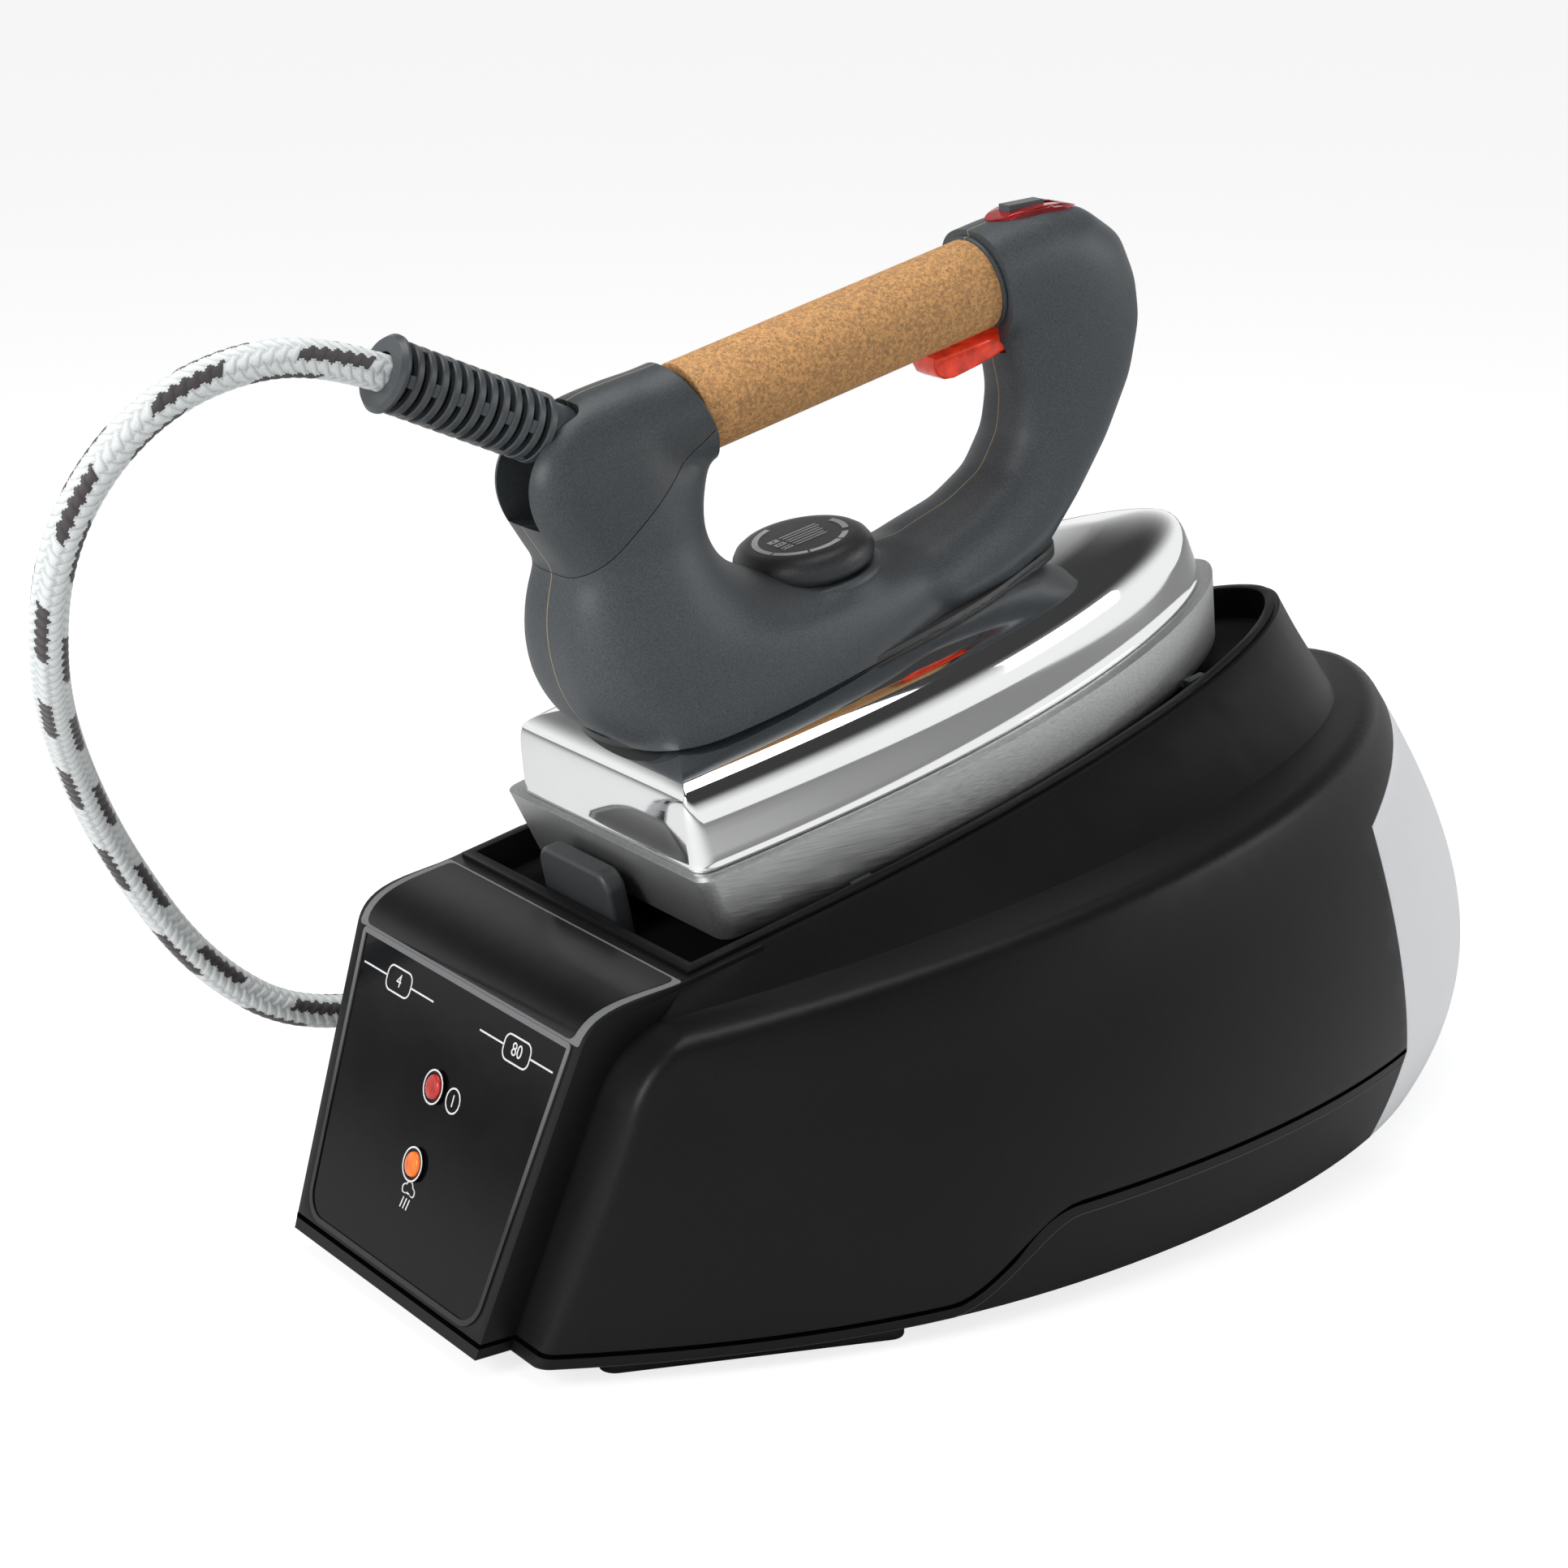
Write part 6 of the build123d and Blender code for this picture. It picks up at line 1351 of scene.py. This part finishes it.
@dataclass
class FrontPanel:
    """Glossy control panel with its trim, lamps and printed marks."""

    band_line: tuple[Flat, ...] = (
        (28.2, 91.3), (28.852, 92.909), (30.04, 94.798), (31.56, 96.432), (33.338, 97.782), (35.291, 98.866),
        (37.352, 99.726), (39.479, 100.409), (41.645, 100.958), (43.835, 101.406), (46.037, 101.782),
        (48.248, 102.11), (50.462, 102.412), (52.677, 102.706), (54.891, 103.011), (57.1, 103.347),
        (59.4, 103.75),
    )
    divider: float = 0.9
    top_line: float = 0.8
    band_halves: Flat = (56.2, 59.6)
    frame_halves: Flat = (59.6, 61.9)
    band_corner: float = 2.4
    corner_steps: tuple[float, ...] = (0.0, 0.12, 0.4, 0.9, 1.5)
    lamp_ups: Flat = (56.5, 34.0)
    lens_radius: float = 3.55
    ring_radius: float = 4.75
    bezel_top: float = 1.0
    line_width: float = 0.5
    line_up: float = 77.5
    line_breaks: tuple[float, ...] = (-52.0, -38.5, -25.1, -12.2, 13.4, 26.2, 39.6, 51.4)
    box_middles: Flat = (-31.8, 32.9)
    box_size: Flat = (13.4, 7.2)
    box_corner: float = 2.6
    print_height: float = 0.08
    cloud_lobes: tuple[Triple, ...] = ((-1.9, -0.2, 1.5), (0.2, 0.7, 2.0), (2.2, -0.3, 1.4))
    cloud_foot: float = 1.5

    def build(self) -> None:
        """Dresses the panel, makes the lenses and prints the marks."""
        Bench.paint("control_panel", Finishes.PANEL)
        run = self.band_run()[-1]
        frame_strip = self.strip(0.0, run, self.frame_halves, 1.0, 0.12)
        Bench.fit("band_frame", Bench.moved(frame_strip, GROUND), Finishes.TRIM, Body.BASE, "silver_trim")
        plate = self.strip(self.divider, run - self.top_line, self.band_halves, self.band_corner, 0.3)
        Bench.fit("band_plate", Bench.moved(plate, GROUND), Finishes.BAND, Body.BASE, "gloss_black",
                  ["panel_band"])
        Bench.paint("panel_trim", Finishes.TRIM)
        Bench.paint("lamp_bezels", Finishes.PANEL, 0.3)
        Bench.paint("lamp_board", Finishes.BOARD)
        for name, up, finish, slot, node in (
            ("power_lens_dome", self.lamp_ups[0], Finishes.RED_LENS, "red_lens", "power_lamp_lens"),
            ("steam_lens_dome", self.lamp_ups[1], Finishes.AMBER_LENS, "amber_lens", "steam_lamp_lens"),
        ):
            r = self.lens_radius
            dome = [(0.0, -6.9), (r, -6.9), (r, 1.0), (r * 0.94, 1.45), (r * 0.8, 1.68), (r * 0.5, 1.78),
                    (0.0, 1.8)]
            lens = Bench.moved(Bench.turned(dome, 40, False), Matrix.Translation((0.0, up, 0.0)))
            Bench.fit(name, Bench.moved(lens, PANEL), finish, Body.BASE, slot, [node])
        self.marks()

    def band_run(self) -> list[float]:
        """Lengths along the band's side line in millimetres."""
        run = [0.0]
        for first, second in zip(self.band_line, self.band_line[1:]):
            run.append(run[-1] + math.dist(first, second))
        return run

    def strip(self, start: float, end: float, halves: Flat, corner: float, rise: float) -> bmesh.types.BMesh:
        """Plate bent along the band's side line, with round corners.

        Args:
            start: Length along the line where the plate starts.
            end: Length where it ends.
            halves: Its half widths at start and end.
            corner: Radius of its corners.
            rise: How far it stands proud of the casing.

        Returns:
            The plate, measured from the ground.
        """
        run = self.band_run()
        stops = {s for s in run if start + 2 < s < end - 2}
        stops |= {start + d for d in self.corner_steps} | {end - d for d in self.corner_steps}
        rings = []
        for s in sorted(stops):
            i = max(n for n, length in enumerate(run[:-1]) if length <= s + 1e-9)
            share = (s - run[i]) / (run[i + 1] - run[i])
            spot = Vector(self.band_line[i]).lerp(Vector(self.band_line[i + 1]), share)
            ahead = Vector(self.band_line[min(i + 1, len(run) - 1)]) - Vector(self.band_line[max(i - 1, 0)])
            out = Vector((-ahead.y, ahead.x)).normalized()
            near = max(0.0, corner - min(s - start, end - s))
            half = halves[0] + (halves[1] - halves[0]) * (s - start) / (end - start)
            half -= corner - math.sqrt(corner ** 2 - near ** 2)
            ring = []
            for y, up in ((-half, rise - 0.1), (-half + 0.1, rise), (half - 0.1, rise), (half, rise - 0.1),
                          (half, -0.9), (-half, -0.9)):
                ring.append(Vector((spot.x + out.x * up, y, spot.y + out.y * up)))
            rings.append(ring)
        return Bench.lofted(rings)

    def outline(self, width: float, height: float, corner: float) -> list[Flat]:
        """Points of a rectangle with round corners."""
        points = []
        for quarter in range(4):
            side_x = 1 if quarter in (0, 3) else -1
            side_y = 1 if quarter in (0, 1) else -1
            for i in range(7):
                a = math.pi / 2 * (quarter + i / 6)
                points.append((side_x * (width / 2 - corner) + corner * math.cos(a),
                               side_y * (height / 2 - corner) + corner * math.sin(a)))
        return points

    def frame_mark(self, width: float, height: float, corner: float) -> bmesh.types.BMesh:
        """Printed outline of a rectangle with round corners."""
        half = self.line_width / 2
        return Bench.raised(self.outline(width + 2 * half, height + 2 * half, corner + half),
                            self.outline(width - 2 * half, height - 2 * half, corner - half),
                            self.print_height)

    def bar(self, start: Flat, end: Flat, width: float) -> bmesh.types.BMesh:
        """Printed straight line."""
        run = Vector((end[0] - start[0], end[1] - start[1]))
        side = Vector((-run.y, run.x)).normalized() * width / 2
        corners = [(start[0] - side.x, start[1] - side.y), (end[0] - side.x, end[1] - side.y),
                   (end[0] + side.x, end[1] + side.y), (start[0] + side.x, start[1] + side.y)]
        return Bench.raised(corners, (), self.print_height)

    def figures(self, words: str, size: float) -> bmesh.types.BMesh:
        """Printed numbers, centred on their place."""
        curve = bpy.data.curves.new("figures", "FONT")
        curve.body = words
        curve.size = size
        curve.align_x = "CENTER"
        curve.align_y = "CENTER"
        curve.extrude = self.print_height / 2
        holder = bpy.data.objects.new("figures", curve)
        bpy.context.scene.collection.objects.link(holder)
        mesh = bpy.data.meshes.new_from_object(holder.evaluated_get(bpy.context.evaluated_depsgraph_get()))
        bm = bmesh.new()
        bm.from_mesh(mesh)
        bpy.data.objects.remove(holder)
        bpy.data.meshes.remove(mesh)
        bmesh.ops.translate(bm, vec=(0, 0, self.print_height / 2), verts=bm.verts)
        return bm

    def marks(self) -> None:
        """Prints the line with its two boxes, the lamp rings and the power and steam signs."""
        parts = []
        for start, end in zip(self.line_breaks[::2], self.line_breaks[1::2]):
            parts.append(self.bar_at((start, self.line_up), (end, self.line_up)))
        for x, words in zip(self.box_middles, ("4", "80")):
            spot = Matrix.Translation((x, self.line_up, 0.0))
            parts.append(Bench.moved(self.frame_mark(*self.box_size, self.box_corner), spot))
            parts.append(Bench.moved(self.figures(words, 5.4), spot))
        for up in self.lamp_ups:
            ring = self.frame_mark(2 * self.ring_radius, 2 * self.ring_radius, self.ring_radius)
            parts.append(Bench.moved(ring, Matrix.Translation((0.0, up, self.bezel_top))))
        parts += self.power_sign(9.7, self.lamp_ups[0] - 0.8) + self.steam_sign(0.0, self.lamp_ups[1] - 9.6)
        Bench.fit("panel_print", Bench.moved(Bench.joined(parts), PANEL), Finishes.WHITE_INK, Body.BASE,
                  "silver_trim")

    def bar_at(self, start: Flat, end: Flat) -> bmesh.types.BMesh:
        """Printed line of the usual width."""
        return self.bar(start, end, self.line_width)

    def power_sign(self, x: float, up: float) -> list[bmesh.types.BMesh]:
        """Upright stroke in a ring."""
        ring = Bench.moved(self.frame_mark(7.0, 7.0, 3.5), Matrix.Translation((x, up, 0.0)))
        return [ring, self.bar_at((x, up - 1.7), (x, up + 1.7))]

    def steam_sign(self, x: float, up: float) -> list[bmesh.types.BMesh]:
        """Small cloud over three slanting strokes."""
        outer, inner = [], []
        for i in range(80):
            a = 2 * math.pi * (i + 0.5) / 80
            ray = Vector((math.cos(a), math.sin(a)))
            reach = []
            for lobe_x, lobe_y, radius in self.cloud_lobes:
                along = ray.x * lobe_x + ray.y * lobe_y
                square = along ** 2 - lobe_x ** 2 - lobe_y ** 2 + radius ** 2
                reach.append(along + math.sqrt(square) if square > 0 else 0.0)
            far = max(reach)
            if ray.y < 0:
                far = min(far, self.cloud_foot / -ray.y)
            outer.append(tuple(ray * far))
            inner.append(tuple(ray * (far - self.line_width)))
        cloud = Bench.moved(Bench.raised(outer, inner, self.print_height),
                            Matrix.Translation((x, up + 2.2, 0.0)))
        strokes = [self.bar_at((x + d - 0.5, up - 3.4), (x + d + 0.3, up - 0.2)) for d in (-1.6, 0.0, 1.6)]
        return [cloud] + strokes


@dataclass
class BaseBody:
    """Casing, tray, cradle, tank, glands and feet of the base."""

    parting_low: float = 9.0
    parting_high: float = 31.0
    step_ends: Flat = (118.0, 160.0)
    step_count: int = 12
    run_ends: Flat = (-20.0, 420.0)
    shade_line_span: Flat = (-0.2, 1.2)
    highlight_span: Flat = (-3.2, -2.9)
    line_rise: float = 0.1
    slab_half: float = 130.0

    def parting_line(self, offset: float) -> list[Flat]:
        """Line between casing and tray in side view, moved square to itself by an offset."""
        start, end = self.step_ends
        step = self.parting_high - self.parting_low
        line = [Vector((self.run_ends[0], self.parting_low))]
        for i in range(self.step_count + 1):
            t = i / self.step_count
            rise = step * (3 * t ** 2 - 2 * t ** 3)
            line.append(Vector((start + (end - start) * t, self.parting_low + rise)))
        line.append(Vector((self.run_ends[1], self.parting_high)))
        moved = []
        for i, spot in enumerate(line):
            way = (line[min(i + 1, len(line) - 1)] - line[max(i - 1, 0)]).normalized()
            moved.append((spot.x - way.y * offset, spot.y + way.x * offset))
        return moved

    def parting(self, name: str, node: str, span: Flat, finish: Finishes) -> None:
        """Makes a thin line on a shell, stepping up from front to rear with the parting; by its finish it is
        painted shade in the gap or a painted highlight on the tray's edge.
        """
        slab = self.parting_line(span[0]) + self.parting_line(span[1])[::-1]
        block = Bench.moved(Bench.prism(slab, self.slab_half), GROUND)
        ring = Bench.cut(block, [Bench.copied([node])], "INTERSECT")
        Bench.fit(name, Bench.grown(ring, self.line_rise), finish, Body.BASE, "tray_black")

    def build(self) -> None:
        """Dresses the outside of the base."""
        # painted shade: a near-black line along the parting stands in for the shaded gap between casing and
        # tray
        self.parting("parting_shade_line", "upper_casing", self.shade_line_span, Finishes.PARTING_SHADE)
        # painted highlight: a lighter line under the gap stands in for light caught on the tray's edge
        self.parting("tray_edge_highlight", "base_tray", self.highlight_span, Finishes.TRAY_EDGE_HIGHLIGHT)
        Bench.paint("upper_casing", Finishes.CASING, 0.7, 3)
        Bench.paint("base_tray", Finishes.CASING)
        Bench.paint("iron_rest_tray", Finishes.TRAY, 0.4)
        Bench.paint("heel_stop", Finishes.STOP, 1.2, 4)
        Bench.paint("rest_pads", Finishes.STOP, 0.4)
        Bench.paint("water_tank", Finishes.TANK, 1.0, 3)
        Bench.paint("tank_filler_cap", Finishes.TANK, 0.6)
        Bench.paint("tank_valve", Finishes.FITTING)
        Bench.paint("tank_seal", Finishes.SILICONE)
        Bench.paint("hose_gland", Finishes.FITTING, 0.5)
        Bench.paint("mains_gland", Finishes.RUBBER, 0.4)
        Bench.paint("base_feet", Finishes.RUBBER, 0.6)
        Bench.paint("base_screws", Finishes.STEEL)


@dataclass
class InnerWorks:
    """What the casing and the handle hide: boiler, pump, valves, boards and switches."""

    finishes: tuple[tuple[Finishes, tuple[str, ...]], ...] = (
        (Finishes.STEEL, ("boiler_shell", "boiler_heater", "heating_element", "iron_screws",
                          "dial_shaft", "trigger_spring", "steam_chamber_cover")),
        (Finishes.BRASS, ("safety_valve", "solenoid_valve", "steam_inlet_tube", "steam_pipe")),
        (Finishes.LIGHT_METAL, ("iron_thermostat", "boiler_sensors")),
        (Finishes.FITTING, ("boiler_saddles", "pump_mounts", "solenoid_coil", "terminal_block",
                            "steam_switch", "grip_core")),
        (Finishes.SILICONE, ("boiler_feed_tube", "water_feed_tube")),
        (Finishes.PUMP, ("water_pump",)),
        (Finishes.BOARD, ("control_board",)),
    )

    def build(self) -> None:
        """Dresses every hidden node."""
        for finish, nodes in self.finishes:
            for node in nodes:
                Bench.paint(node, finish)


def main() -> None:
    """Builds the station in order."""
    logging.basicConfig(level=logging.INFO, format="%(message)s")
    Stage().build()
    for assembly in (SteamHose(), StrainRelief(), HandleBody(), GripAndControls(), IronSole(), FrontPanel(),
                     BaseBody(), InnerWorks()):
        assembly.build()
        LOG.info("built %s", type(assembly).__name__)


if __name__ == "__main__":
    main()
